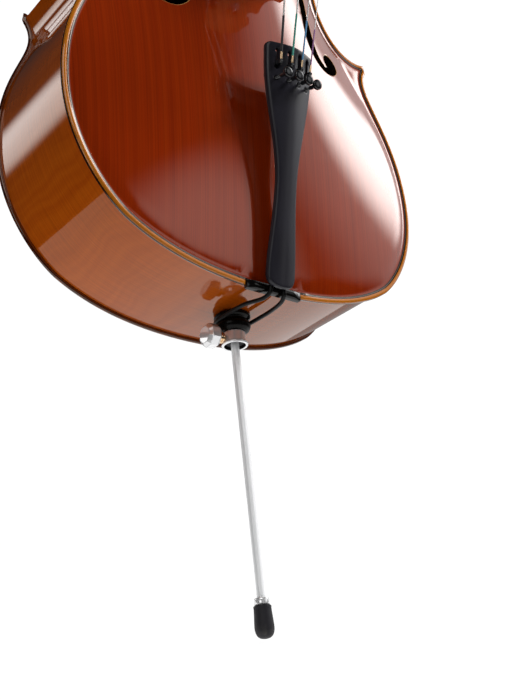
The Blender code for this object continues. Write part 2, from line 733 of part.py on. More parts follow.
def make_bridge(look):
    peak = -front_y(0, BRIDGE_Z)
    half = bridge_half_outline()
    foot_half, foot_in = BRIDGE_WIDTH / 2, 0.017

    def foot(x):
        return -front_y(x, BRIDGE_Z) - peak + 0.0008

    sole = [(x, foot(x)) for x in np.linspace(foot_half, foot_in, 5)]
    arch_line = [(foot_in, foot(foot_in) + 0.003), (0.0165, 0.010), (0.013, 0.017), (0.007, 0.0215), (0, 0.023)]
    right = np.vstack([half, sole, arch_line])
    loop = np.vstack([right, mirrored(right)[1:-1][::-1]])
    heart = [(0, 0.036), (0.005, 0.040), (0.0095, 0.048), (0.008, 0.054), (0.004, 0.0555), (0, 0.050)]
    heart = np.vstack([heart, mirrored(heart)[1:-1][::-1]])

    def lift(points, side):
        x, h = points[:, 0], points[:, 1]
        thick = BRIDGE_FOOT - (BRIDGE_FOOT - BRIDGE_TOP) * np.clip(h / BRIDGE_HEIGHT, 0, 1) ** 0.8
        z = BRIDGE_Z - BRIDGE_BACK + thick * (1 - side)
        return np.column_stack([x, -(peak + h), z + BODY_BASE])

    slab("bridge", loop, [heart], 0.012, lift, look["bridge"])


def bridge_notch(string):
    """Where the string crosses the bridge: its middle, just clear of the wood."""
    x = STRINGS[string] * BRIDGE_SPREAD / 3
    over = STRING_RADIUS[string] + 3 * GAP
    middle = BRIDGE_Z - BRIDGE_BACK + BRIDGE_TOP / 2
    return Vector((x, front_y(0, BRIDGE_Z) - bridge_crown(x) - over, middle + BODY_BASE))


# The tailpiece's own frame: t runs down from its upper end, n stands out of its underside

TAIL_TOP = Vector((0, -(RIB_HEIGHT / 2 + EDGE + TAIL_TOP_RISE), TAIL_TOP_Z + BODY_BASE))
TAIL_SLOPE = math.asin((TAIL_TOP_RISE - TAIL_LOW_RISE) / TAIL_LENGTH)
TAIL_DOWN = Vector((0, math.sin(TAIL_SLOPE), -math.cos(TAIL_SLOPE)))
TAIL_OUT = Vector((0, -math.cos(TAIL_SLOPE), -math.sin(TAIL_SLOPE)))
SCREW_T = 0.0375
LEVER_T = 0.022
SLOT_LOW = 0.006
SLOT_HIGH = 0.028
SLOT_HALF = 0.0027


def tail_point(x, t, n):
    return TAIL_TOP + Vector((x, 0, 0)) + TAIL_DOWN * t + TAIL_OUT * n


def tail_crown(x):
    """Height of the tailpiece's outer face over the plane of its edges."""
    return -(x**2) * 5.5


def slot_x(string):
    return STRINGS[string] * SLOT_PITCH


def make_tailpiece(look):
    widths = bezier((0.0215, 0), (0.030, -0.001), (0.030, 0.004), (0.0292, 0.012), 4)
    neck = bezier((0.0292, 0.012), (0.0285, 0.060), (0.0135, 0.095), (0.0122, 0.140), 6)
    foot = bezier((0.0122, 0.140), (0.0122, 0.180), (0.0165, 0.205), (0.0165, 0.226), 5)
    end = bezier((0.0165, 0.230), (0.0165, 0.238), (0.012, TAIL_LENGTH), (0, TAIL_LENGTH), 5)
    right = np.vstack([[(0, 0)], widths, neck, foot, end, [(0, TAIL_LENGTH)]])
    loop = np.vstack([right, mirrored(right)[1:-1][::-1]])
    holes = []
    for string in STRINGS:
        x = slot_x(string)
        left, right = x - SLOT_HALF, x + SLOT_HALF
        holes.append([(left, SLOT_LOW), (right, SLOT_LOW), (right, SLOT_HIGH), (left, SLOT_HIGH)])
        ring = np.linspace(0, 2 * math.pi, 9)[:-1]
        holes.append([(x + 0.0024 * math.cos(k), SCREW_T + 0.0024 * math.sin(k)) for k in ring])

    def lift(points, side):
        n = tail_crown(points[:, 0]) - (TAIL_THICKNESS if side else 0)
        return np.array([tail_point(x, t, h) for (x, t), h in zip(points, n)])

    slab("tailpiece", loop, holes, 0.014, lift, look["composite"])


def make_fine_tuners(look):
    """Four levers that hold the strings' ends, each pushed by its own screw."""
    half = 0.0022
    side_way = Vector((1, 0, 0))
    for string in STRINGS:
        x = slot_x(string)
        under = float(tail_crown(abs(x) + half)) - TAIL_THICKNESS
        crest = float(tail_crown(x))
        horn = [(LEVER_T - 0.0016, crest + 0.0045), (LEVER_T + 0.0016, crest + 0.0045)]
        arm = [(LEVER_T + 0.0016, under - 0.0012)]
        arm += [(SCREW_T + 0.003, under - 0.0030), (SCREW_T + 0.003, under - 0.0055)]
        heel = [(LEVER_T + 0.002, under - 0.0055), (LEVER_T - 0.0016, under - 0.0040)]
        side = [*horn, *arm, *heel]
        sections = [[tail_point(x + dx, t, n) for t, n in side] for dx in (-half, half)]
        loft(f"tuner_lever_{string}", sections, look["composite"])

        frame = Matrix((side_way, TAIL_OUT.cross(side_way), TAIL_OUT)).transposed().to_4x4()
        frame.translation = tail_point(x, SCREW_T, 0)
        tip, disc_low = under - 0.0020, crest + 0.0125
        stem = [(0, tip), (0.0015, tip), (0.0015, crest + 0.004), (0.0021, crest + 0.0045), (0.0021, disc_low)]
        disc = [(0.0044, disc_low + 0.0005), (0.0048, disc_low + 0.0012), (0.0048, disc_low + 0.0032)]
        disc += [(0.0042, disc_low + 0.0040), (0, disc_low + 0.0042)]
        turned(f"tuner_screw_{string}", [*stem, *disc], 16, frame, look["composite"])


def make_saddle(look):
    front = -(RIB_HEIGHT / 2 + EDGE)
    back = -(RIB_HEIGHT / 2 - GAP) - 2 * GAP
    low, high = -0.0012, SADDLE_DEPTH - GAP
    sections = []
    full = SADDLE_HALF - 0.008
    for x, rise in ((-SADDLE_HALF, 0.001), (-full, SADDLE_RISE), (full, SADDLE_RISE), (SADDLE_HALF, 0.001)):
        side = [(back, low), (back, high), (front - rise * 0.55, high), (front - rise * 0.95, high - 0.0022)]
        side += [(front - rise, 0.0026), (front - rise * 0.5, low + 0.0008), (front, low)]
        sections.append([(x, y, z + BODY_BASE) for y, z in side])
    loft("saddle", sections, look["ebony"])


def make_strings(look):
    for string, number in STRINGS.items():
        radius = STRING_RADIUS[string]
        x = slot_x(string)
        start = tail_point(x, LEVER_T - 0.0016 - GAP - 0.0002, float(tail_crown(x)) + 0.0028)
        notch = bridge_notch(string)
        nut_x = number * NUT_SPREAD / 3
        nut = neck_point(nut_x, -0.0024, board_crown(nut_x, 0) + NUT_RISE + radius + 1.5 * GAP)
        peg = peg_frame(string)
        local = 0.5 * peg_side(string) * number * NUT_SPREAD / 3 - 0.001
        wound = peg_radius(local) + 3 * radius + 4 * GAP
        end = peg @ Vector((wound, 0, local))
        tube(f"string_{string}", [start, notch, nut, end], radius, look["string"])


# The endpin


def make_endpin(look):
    place = Matrix.Translation((0, 0, BODY_BASE))
    seat = OVERHANG - GAP
    bore, shank = ROD_BORE, BUTTON_BORE - GAP
    button = [(bore, 0.033), (shank - 0.0010, 0.033), (shank, seat), (0.0165, seat), (0.0180, seat - 0.0015)]
    button += [(0.0180, seat - 0.0035), (0.0140, seat - 0.0055), (0.0140, seat - 0.0080), (0.0172, seat - 0.0100)]
    button += [(0.0165, -0.0115), (0.0128, COLLAR_HIGH + GAP), (bore, COLLAR_HIGH + GAP)]
    turned("end_button", button, 24, place, look["ebony"])

    rim, flange = 0.0114, 0.0132
    collar = [(bore, COLLAR_HIGH), (rim - 0.0008, COLLAR_HIGH), (rim, COLLAR_HIGH - 0.001)]
    collar += [(rim, COLLAR_LOW + 0.0034), (flange, COLLAR_LOW + 0.0024), (flange, COLLAR_LOW + 0.0008)]
    collar += [(flange - 0.0008, COLLAR_LOW), (0.0100, COLLAR_LOW)]
    collar += [(0.0095, COLLAR_LOW + 0.0035), (bore, COLLAR_LOW + 0.0035)]
    ring = turned("clamp_collar", collar, 24, place, look["chrome"])

    out = Vector((math.cos(CLAMP_ANGLE), math.sin(CLAMP_ANGLE), 0))
    across = Vector((0, 0, 1))
    frame = Matrix((across.cross(out), across, out)).transposed().to_4x4()
    frame.translation = Vector((0, 0, BODY_BASE + (COLLAR_LOW + COLLAR_HIGH) / 2))
    hole = [(0, 0.002), (0.0029, 0.002), (0.0029, 0.02), (0, 0.02)]
    boolean(ring, turned("clamp_bore", hole, 12, frame, look["chrome"]))
    knob = [(0, 0.0044), (0.0025, 0.0044), (0.0025, 0.0140), (0.0056, 0.0143), (0.0056, 0.0190)]
    knob += [(0.0092, 0.0212), (0.0122, 0.0236), (0.0122, 0.0310), (0.0090, 0.0345), (0, 0.0347)]
    turned("clamp_screw", knob, 8, frame @ Matrix.Rotation(math.pi / 8, 4, "Z"), look["chrome"])

    rod = [(0, ROD_LOW), (ROD_RADIUS - 0.0006, ROD_LOW), (ROD_RADIUS, ROD_LOW + 0.001)]
    rod += [(ROD_RADIUS, ROD_HIGH - 0.001), (ROD_RADIUS - 0.001, ROD_HIGH), (0, ROD_HIGH)]
    turned("endpin_rod", rod, 24, place, look["steel"])

    hold = ROD_RADIUS + GAP
    ferrule = [(hold, TIP_HIGH + 0.0005), (0.0066, TIP_HIGH + 0.0005), (0.0070, TIP_HIGH + 0.0012)]
    ferrule += [(0.0070, TIP_HIGH + 0.0056), (0.0066, TIP_HIGH + 0.0064), (hold, TIP_HIGH + 0.0064)]
    turned("tip_ferrule", ferrule, 24, place, look["chrome"])

    tip = [(0, TIP_HIGH), (0.0074, TIP_HIGH), (0.0078, TIP_HIGH - 0.0006), (0.0088, -0.2950)]
    bend = np.linspace(0, math.pi / 2, 6)
    tip += [(0.0028 + 0.0060 * math.cos(a), -0.2970 - 0.0090 * math.sin(a)) for a in bend]
    tip += [(0, -BODY_BASE)]
    cup = turned("rubber_tip", tip, 24, place, look["rubber"])
    floor = ROD_LOW - 0.0006
    socket = [(0, floor), (hold, floor), (hold, TIP_HIGH + 0.002), (0, TIP_HIGH + 0.002)]
    boolean(cup, turned("tip_socket", socket, 24, place, look["rubber"]))


def make_tail_cord(look):
    """The cord runs from the tailpiece over the saddle, round the button's groove and back."""
    radius = 0.0021
    crest = -(RIB_HEIGHT / 2 + EDGE + SADDLE_RISE) - radius - 0.0006
    under = -TAIL_THICKNESS - radius - 0.0012
    start = tail_point(0.0075, TAIL_LENGTH - 0.022, under)
    leave = tail_point(0.0075, TAIL_LENGTH - 0.008, under)
    groove = BODY_BASE + OVERHANG - GAP - 0.0068
    bend = radius + 0.0146
    half = [
        start,
        leave,
        Vector((0.0078, crest, BODY_BASE + 0.0035)),
        Vector((0.0085, crest + 0.0022, BODY_BASE - 0.0030)),
        Vector((0.0110, crest + 0.0110, BODY_BASE - 0.0062)),
        Vector((bend, -0.036, groove - 0.0006)),
        Vector((bend, -0.006, groove)),
    ]
    turn = np.linspace(0.35, math.pi - 0.35, 6)
    around = [Vector((bend * math.cos(a), bend * math.sin(a), groove)) for a in turn]
    route = [*half, *around, *[Vector((-p.x, p.y, p.z)) for p in half[::-1]]]
    tube("tail_cord", smooth_path(route, 64), radius, look["cord"])


def main():
    for thing in list(bpy.data.objects):
        bpy.data.objects.remove(thing)
    look = looks()
    make_plates(look)
    make_ribs(look)
    make_linings(look)
    make_blocks(look)
    make_bass_bar_and_post(look)
    make_neck(look)
    make_pegs(look)
    make_fingerboard(look)
    make_bridge(look)
    make_tailpiece(look)
    make_fine_tuners(look)
    make_saddle(look)
    make_strings(look)
    make_tail_cord(look)
    make_endpin(look)


main()
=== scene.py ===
"""The looks of the cello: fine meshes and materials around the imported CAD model.

Metres, in the CAD's frame: the origin is where the rubber tip meets the floor, +Z runs up the endpin, +X is
the treble side and the front faces -Y. Heights z of the body's outline are counted from BODY_BASE. A turned
piece's profile is a list of (radius, height) along its own axis.
"""

import math

import bmesh
import bpy
import numpy as np
from mathutils import Matrix, Vector
from mathutils.geometry import delaunay_2d_cdt


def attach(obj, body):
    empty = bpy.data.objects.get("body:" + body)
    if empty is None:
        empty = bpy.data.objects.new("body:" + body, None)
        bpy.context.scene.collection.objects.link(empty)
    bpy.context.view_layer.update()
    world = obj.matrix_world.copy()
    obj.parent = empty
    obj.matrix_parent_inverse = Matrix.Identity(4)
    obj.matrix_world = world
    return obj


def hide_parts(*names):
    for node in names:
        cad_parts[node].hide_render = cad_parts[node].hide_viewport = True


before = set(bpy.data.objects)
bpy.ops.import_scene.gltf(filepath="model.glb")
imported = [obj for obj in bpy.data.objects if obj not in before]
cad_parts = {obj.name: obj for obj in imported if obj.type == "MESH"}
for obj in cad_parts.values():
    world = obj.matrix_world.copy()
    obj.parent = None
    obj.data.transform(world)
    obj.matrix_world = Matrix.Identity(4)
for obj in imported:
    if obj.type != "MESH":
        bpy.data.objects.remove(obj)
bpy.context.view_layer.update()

# The CAD's driving sizes
BODY_BASE = 0.306
BODY_LENGTH = 0.756
LOWER_WIDTH = 0.436
WAIST_WIDTH = 0.240
UPPER_WIDTH = 0.342
LOWER_Z = 0.165
WAIST_Z = 0.415
UPPER_Z = 0.604
RIB_HEIGHT = 0.120
RIB_THICKNESS = 0.0018
OVERHANG = 0.0035
EDGE = 0.0045
TOP_ARCH = 0.028
BACK_ARCH = 0.025
GLUE_BAND = 0.014
END_BAND = 0.030
GAP = 0.0003
BRIDGE_Z = 0.356
BRIDGE_HEIGHT = 0.090
BRIDGE_WIDTH = 0.091
BRIDGE_SPREAD = 0.047
BRIDGE_FOOT = 0.0115
BRIDGE_TOP = 0.0027
BRIDGE_BACK = 0.0045
NECK_LENGTH = 0.280
NECK_SLOPE = math.radians(10.5)
OVERSTAND = 0.020
BOARD_LENGTH = 0.580
BOARD_EDGE = 0.006
BOARD_RADIUS = 0.062
NUT_WIDTH = 0.032
BOARD_END_WIDTH = 0.062
NUT_SPREAD = 0.0225
NUT_THICKNESS = 0.007
NUT_RISE = 0.0009
PEGBOX_SLOPE = math.radians(13)
SADDLE_HALF = 0.0325
SADDLE_DEPTH = 0.0075
SADDLE_RISE = 0.003
TAIL_LENGTH = 0.2435
TAIL_TOP_Z = 0.2345
TAIL_TOP_RISE = 0.074
TAIL_LOW_RISE = 0.014
TAIL_THICKNESS = 0.0055
ROD_RADIUS = 0.004
ROD_BORE = 0.00408
ROD_LOW = -0.290
ROD_HIGH = 0.215
BUTTON_BORE = 0.0128
COLLAR_LOW = -0.029
COLLAR_HIGH = -0.0155
CLAMP_ANGLE = math.radians(176)
TIP_HIGH = -0.2775
STRINGS = {"c": -1.5, "g": -0.5, "d": 0.5, "a": 1.5}
STRING_RADIUS = {"c": 0.00095, "g": 0.00075, "d": 0.0006, "a": 0.0005}
PEG_PLACE = {"c": 0.026, "a": 0.048, "g": 0.077, "d": 0.099}
SLOT_PITCH = 0.0125
SCREW_T = 0.0375
LEVER_T = 0.022
SLOT_LOW = 0.006
SLOT_HIGH = 0.028
SCROLL_CENTRE = (0.157, 0.004)
SCROLL_RADIUS = 0.041
SCROLL_DECAY = 0.105

# Sizes of the fine surface
PLATE_GRID = 0.0060
PLATE_RINGS = (0.0003, 0.0010, 0.0022, 0.0034, 0.0046, 0.0056, 0.0064, 0.0073, 0.0085, 0.0100, 0.0118)
EDGE_ROUND = EDGE / 2
CREST = 0.0006
CHANNEL = 0.0010
CHANNEL_AT = 0.0090
PURFLING_AT = 0.0046
PURFLING_WIDTH = 0.0027


# Curves and outlines


def bezier(start, lead, pull, end, count):
    """Points on a cubic curve from start up to, but not including, end."""
    t = np.linspace(0, 1, count, endpoint=False)[:, None]
    start, lead, pull, end = map(np.array, (start, lead, pull, end))
    return (1 - t) ** 3 * start + 3 * (1 - t) ** 2 * t * lead + 3 * (1 - t) * t**2 * pull + t**3 * end


def smooth_path(points, count):
    """count points on a smooth curve through the given points."""
    p = np.array(points, float)
    p = np.vstack([2 * p[0] - p[1], p, 2 * p[-1] - p[-2]])
    made = []
    for t in np.linspace(0, len(points) - 1, count):
        i = min(int(t), len(points) - 2)
        f = t - i
        a, b, c, d = p[i : i + 4]
        made.append(
            0.5 * (2 * b + (c - a) * f + (2 * a - 5 * b + 4 * c - d) * f**2 + (3 * b - a - 3 * c + d) * f**3)
        )
    return np.array(made)


def inside(points, loop):
    """Which points lie inside a closed loop, by the even-odd rule."""
    x, z = points[:, 0][:, None], points[:, 1][:, None]
    x1, z1 = loop[:, 0], loop[:, 1]
    x2, z2 = np.roll(x1, -1), np.roll(z1, -1)
    crosses = (z1 > z) != (z2 > z)
    with np.errstate(divide="ignore", invalid="ignore"):
        at = x1 + (z - z1) * (x2 - x1) / (z2 - z1)
    return (crosses & (x < at)).sum(1) % 2 == 1


def distance(points, loop):
    """The distance of each point from a closed loop's edges."""
    a, along = loop, np.roll(loop, -1, axis=0) - loop
    length = np.maximum((along**2).sum(1), 1e-12)
    found = []
    for part in np.array_split(points, max(1, len(points) // 2000)):
        t = ((part[:, None] - a) * along).sum(2) / length
        nearest = a + np.clip(t, 0, 1)[..., None] * along
        found.append(np.linalg.norm(part[:, None] - nearest, axis=2).min(1))
    return np.concatenate(found)


def mirrored(points):
    return np.array(points) * (-1, 1)


def both_sides(half):
    """The loop made of half an outline, which starts and ends in the middle, and its mirror image."""
    return np.vstack([half, mirrored(half)[1:-1][::-1]])


def axes_at(place, x, y, z):
    """The frame with these three axes, put at place."""
    made = Matrix((x, y, z)).transposed().to_4x4()
    made.translation = place
    return made


def offset(line, amount):
    """The line moved inwards, which is to the left of its direction."""
    along = np.gradient(line, axis=0)
    along /= np.linalg.norm(along, axis=1)[:, None]
    return line + amount * np.column_stack([-along[:, 1], along[:, 0]])


def offset_loop(loop, amount):
    """Points of a closed loop moved inwards, without those that come too near another stretch of it."""
    along = np.roll(loop, -1, axis=0) - np.roll(loop, 1, axis=0)
    along /= np.maximum(np.linalg.norm(along, axis=1), 1e-9)[:, None]
    moved = loop + amount * np.column_stack([-along[:, 1], along[:, 0]])
    return moved[distance(moved, loop) > abs(amount) * 0.97]


def lengths_along(line):
    """The length of the line from its start up to each of its points."""
    return np.concatenate([[0], np.cumsum(np.linalg.norm(np.diff(line, axis=0), axis=1))])


def trimmed(line, start, end):
    """The line without its first start and last end metres."""
    steps = lengths_along(line)
    keep = (steps > start + 1e-4) & (steps < steps[-1] - end - 1e-4)
    ends = [[np.interp(s, steps, line[:, k]) for k in (0, 1)] for s in (start, steps[-1] - end)]
    return np.vstack([ends[0], line[keep], ends[1]])


def bout_lines(fine=5):
    """The treble half of the outline as three lines of (x, z): the lower bout, the C and the upper bout."""
    lower = np.vstack(
        [
            bezier((0, 0), (0.077, 0), (0.1261, 0.0155), (0.1586, 0.0367), 6 * fine),
            bezier((0.1586, 0.0367), (0.1692, 0.0437), (0.218, 0.086), (0.218, LOWER_Z), 6 * fine),
            bezier((0.218, LOWER_Z), (0.218, 0.2615), (0.161, 0.2937), (0.187, 0.3285), 9 * fine),
            [(0.187, 0.3285)],
        ]
    )
    middle = np.vstack(
        [
            bezier((0.185, 0.3385), (0.156, 0.327), (0.120, 0.3555), (0.120, WAIST_Z), 8 * fine),
            bezier((0.120, WAIST_Z), (0.120, 0.466), (0.127, 0.5075), (0.1505, 0.503), 7 * fine),
            [(0.1505, 0.503)],
        ]
    )
    upper = np.vstack(
        [
            bezier((0.1525, 0.5125), (0.137, 0.538), (0.171, 0.560), (0.171, UPPER_Z), 7 * fine),
            bezier((0.171, UPPER_Z), (0.171, 0.668), (0.1306, 0.7177), (0.121, 0.7250), 6 * fine),
            bezier((0.121, 0.7250), (0.0954, 0.7443), (0.060, 0.756), (0, BODY_LENGTH), 6 * fine),
            [(0, BODY_LENGTH)],
        ]
    )
    return lower, middle, upper


def whole_outline():
    return both_sides(np.vstack(bout_lines()))


def arch_width(z):
    """The half width that the arching fills at height z: the outline with its corners smoothed away."""
    low = LOWER_WIDTH / 2 * np.maximum(1 - np.abs((LOWER_Z - z) / LOWER_Z) ** 2.45, 0) ** (1 / 2.45)
    top = BODY_LENGTH - UPPER_Z
    high = UPPER_WIDTH / 2 * np.maximum(1 - np.abs((z - UPPER_Z) / top) ** 2.45, 0) ** (1 / 2.45)
    down = 0.5 - 0.5 * np.cos(np.pi * np.clip((z - LOWER_Z) / (WAIST_Z - LOWER_Z), 0, 1))
    up = 0.5 - 0.5 * np.cos(np.pi * np.clip((z - WAIST_Z) / (UPPER_Z - WAIST_Z), 0, 1))
    middle = LOWER_WIDTH / 2 + (WAIST_WIDTH - LOWER_WIDTH) / 2 * down + (UPPER_WIDTH - WAIST_WIDTH) / 2 * up
    return np.where(z < LOWER_Z, low, np.where(z > UPPER_Z, high, middle))


def arch(x, z, height, margin=0.0, end_margin=0.0):
    """How far a plate swells out of its edge plane at (x, z)."""
    across = np.abs(x) / np.maximum(arch_width(z) - margin, 0.001)
    along = np.abs(z - BODY_LENGTH / 2) / (BODY_LENGTH / 2 - end_margin)
    return height * np.maximum(1 - across**2, 0) ** 1.2 * np.maximum(1 - along**3, 0) ** 1.2


def front_y(x, z):
    """Y of the top's outer face."""
    return -float(RIB_HEIGHT / 2 + EDGE + arch(np.array(x), np.array(z), TOP_ARCH))


def smoothstep(value):
    value = np.clip(value, 0, 1)
    return value * value * (3 - 2 * value)


def round_edge(depth, radius):
    """How high a rounded edge has risen at a distance depth from its outline."""
    return radius * np.sqrt(np.maximum(1 - (1 - np.clip(depth / radius, 0, 1)) ** 2, 0))


# Meshes


def place_piece(made, look, body, nodes):
    """Gives a piece its material, the body that it rides on and the CAD nodes that it stands for."""
    made.data.materials.clear()
    made.data.materials.append(look)
    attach(made, body)
    if nodes:
        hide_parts(*nodes)


def mesh_object(name, points, faces, sharp, values=None):
    """A mesh object with its faces turned outwards. values are named numbers for each point."""
    mesh = bpy.data.meshes.new(name)
    mesh.from_pydata([tuple(p) for p in points], [], [tuple(int(i) for i in f) for f in faces])
    for label, numbers in (values or {}).items():
        store = mesh.attributes.new(label, "FLOAT", "POINT")
        store.data.foreach_set("value", np.asarray(numbers, np.float32))
    shape = bmesh.new()
    shape.from_mesh(mesh)
    bmesh.ops.recalc_face_normals(shape, faces=shape.faces)
    shape.to_mesh(mesh)
    shape.free()
    mesh.shade_smooth()
    mesh.set_sharp_from_angle(angle=math.radians(sharp))
    made = bpy.data.objects.new(name, mesh)
    bpy.context.scene.collection.objects.link(made)
    return made


def triangles(points, loops):
    """Flat points and triangles between an outer loop and its holes. The loops' points come first."""
    edges, start = [], 0
    for loop in loops:
        edges += [(start + i, start + (i + 1) % len(loop)) for i in range(len(loop))]
        start += len(loop)
    places, _, faces, *_ = delaunay_2d_cdt([Vector(p) for p in points], edges, [], 0, 1e-7)
    flat, faces = np.array(places), np.array(faces)
    centres = flat[faces].mean(1)
    real = inside(centres, loops[0])
    for loop in loops[1:]:
        real &= ~inside(centres, loop)
    return flat, faces[real], edges


def filled_points(loops, spacing, margin, rings):
    """The loops' points, then rings of points inside the outer loop and round the holes, then a grid."""
    outer, holes = loops[0], loops[1:]
    low, high = outer.min(0), outer.max(0)
    rows = np.arange(low[1], high[1], spacing * math.sqrt(0.75))
    columns = np.arange(low[0] - spacing, high[0] + spacing, spacing)
    grid = np.array([(x + 0.5 * spacing * (i % 2), z) for i, z in enumerate(rows) for x in columns])
    grid = grid[inside(grid, outer)]
    grid = grid[distance(grid, outer) > margin]
    made = [*loops]
    for amount in rings:
        ring = offset_loop(outer, amount)
        ring = ring[inside(ring, outer)]
        for hole in holes:
            ring = ring[~inside(ring, hole) & (distance(ring, hole) > 0.0008)]
        made.append(ring)
    for hole in holes:
        grid = grid[~inside(grid, hole)]
        grid = grid[distance(grid, hole) > 0.0030]
        made.append(offset_loop(hole, -0.0006))
        made.append(offset_loop(hole, -0.0018))
    return np.vstack([*made, grid])


def shell_piece(name, loops, points, lift, values, sharp=40):
    """A closed body over a flat outline. lift(points, side) gives the places of its two faces."""
    flat, faces, edges = triangles(points, loops)
    count = len(flat)
    walls = [(a, b, b + count, a + count) for a, b in edges]
    both = [*faces, *(faces[:, ::-1] + count), *walls]
    numbers = {label: np.tile(make(flat), 2) for label, make in values.items()}
    return mesh_object(name, np.vstack([lift(flat, 0), lift(flat, 1)]), both, sharp, numbers)


def loft(name, sections, sharp=40, values=None):
    """A body through sections that have the same number of points."""
    count = len(sections[0])
    points = np.vstack([np.array(section) for section in sections])
    faces = [
        (i * count + j, i * count + (j + 1) % count, (i + 1) * count + (j + 1) % count, (i + 1) * count + j)
        for i in range(len(sections) - 1)
        for j in range(count)
    ]
    faces += [tuple(range(count)), tuple(range(len(points) - count, len(points)))]
    return mesh_object(name, points, faces, sharp, values)


def turned(name, profile, segments, place, sharp=40):
    """A piece turned round its own z axis. The profile is (radius, z) or (radius, z, flattening) and starts
    and ends on the axis, or closes on itself if the piece has a bore."""
    points, rings = [], []
    for radius, z, *flat in profile:
        squeeze = flat[0] if flat else 1.0
        steps = segments if radius > 1e-6 else 1
        rings.append(list(range(len(points), len(points) + steps)))
        for k in range(steps):
            angle = 2 * math.pi * k / segments
            points.append(place @ Vector((radius * math.cos(angle), radius * squeeze * math.sin(angle), z)))
    bored = profile[0][0] > 1e-6
    faces = []
    for a, b in zip(rings, rings[1:] + rings[:1] if bored else rings[1:]):
        for k in range(segments):
            corners = [a[k % len(a)], a[(k + 1) % len(a)], b[(k + 1) % len(b)], b[k % len(b)]]
            faces.append(list(dict.fromkeys(corners)))
    return mesh_object(name, points, faces, sharp)


def raised(base, profile):
    """The profile with its heights counted from base."""
    return [(radius, base + z, *flat) for radius, z, *flat in profile]


def tube(name, points, radius, sides):
    """A round cord or string along its points."""
    curve = bpy.data.curves.new(name, "CURVE")
    curve.dimensions = "3D"
    curve.bevel_depth = radius
    curve.bevel_resolution = sides
    curve.use_fill_caps = True
    line = curve.splines.new("POLY")
    line.points.add(len(points) - 1)
    for point, place in zip(line.points, points):
        point.co = (*place, 1)
    made = bpy.data.objects.new(name, curve)
    bpy.context.scene.collection.objects.link(made)
    return made


def bevelled(made, width, segments=3, angle=30):
    """Rounds the piece's sharp edges."""
    step = made.modifiers.new("bevel", "BEVEL")
    step.width = width
    step.segments = segments
    step.limit_method = "ANGLE"
    step.angle_limit = math.radians(angle)
    step.harden_normals = True
    return made


# Materials


class Nodes:
    """Short calls for the nodes of one node tree."""

    def __init__(self, tree):
        self.tree = tree

    def node(self, kind, **settings):
        made = self.tree.nodes.new(kind)
        for key, value in settings.items():
            setattr(made, key, value)
        return made

    def feed(self, socket, value):
        """Links or sets an input socket."""
        if isinstance(value, bpy.types.NodeSocket):
            self.tree.links.new(value, socket)
        elif isinstance(value, tuple) and len(value) == 3 and len(socket.default_value) == 4:
            socket.default_value = (*value, 1)
        else:
            socket.default_value = value

    def attribute(self, name):
        return self.node("ShaderNodeAttribute", attribute_name=name).outputs["Fac"]

    def math(self, operation, *values):
        made = self.node("ShaderNodeMath", operation=operation)
        for socket, value in zip(made.inputs, values):
            self.feed(socket, value)
        return made.outputs[0]

    def join(self, x, y, z):
        made = self.node("ShaderNodeCombineXYZ")
        for socket, value in zip(made.inputs, (x, y, z)):
            self.feed(socket, value)
        return made.outputs[0]

    def scaled_join(self, first, second):
        """A vector of two values, each with its scale, in x and z."""
        x, z = self.math("MULTIPLY", *first), self.math("MULTIPLY", *second)
        return self.join(x, 0.0, z)

    def noise(self, vector, detail, roughness=0.5):
        """Noise whose size is set by the vector's own scale."""
        made = self.node("ShaderNodeTexNoise")
        self.feed(made.inputs["Vector"], vector)
        made.inputs["Scale"].default_value = 1.0
        made.inputs["Detail"].default_value = detail
        made.inputs["Roughness"].default_value = roughness
        return made.outputs["Fac"]

    def ramp(self, value, *stops, constant=False):
        """A colour ramp through (position, colour) stops."""
        made = self.node("ShaderNodeValToRGB")
        made.color_ramp.interpolation = "CONSTANT" if constant else "LINEAR"
        elements = made.color_ramp.elements
        while len(elements) < len(stops):
            elements.new(0.5)
        for element, (position, colour) in zip(elements, stops):
            element.position = position
            element.color = (*colour, 1)
        self.feed(made.inputs[0], value)
        return made.outputs[0]

    def range(self, value, low, high, to_low=0.0, to_high=1.0, step="LINEAR"):
        made = self.node("ShaderNodeMapRange", clamp=True, interpolation_type=step)
        for socket, number in zip(made.inputs, (value, low, high, to_low, to_high)):
            self.feed(socket, number)
        return made.outputs[0]

    def mix(self, share, first, second, blend="MIX"):
        made = self.node("ShaderNodeMix", data_type="RGBA", blend_type=blend)
        self.feed(made.inputs[0], share)
        self.feed(made.inputs[6], first)
        self.feed(made.inputs[7], second)
        return made.outputs[2]

    def shaded(self, colour, *amounts):
        """The colour made darker or lighter by each amount in turn."""
        for amount in amounts:
            colour = self.mix(1.0, colour, self.join(amount, amount, amount), "MULTIPLY")
        return colour


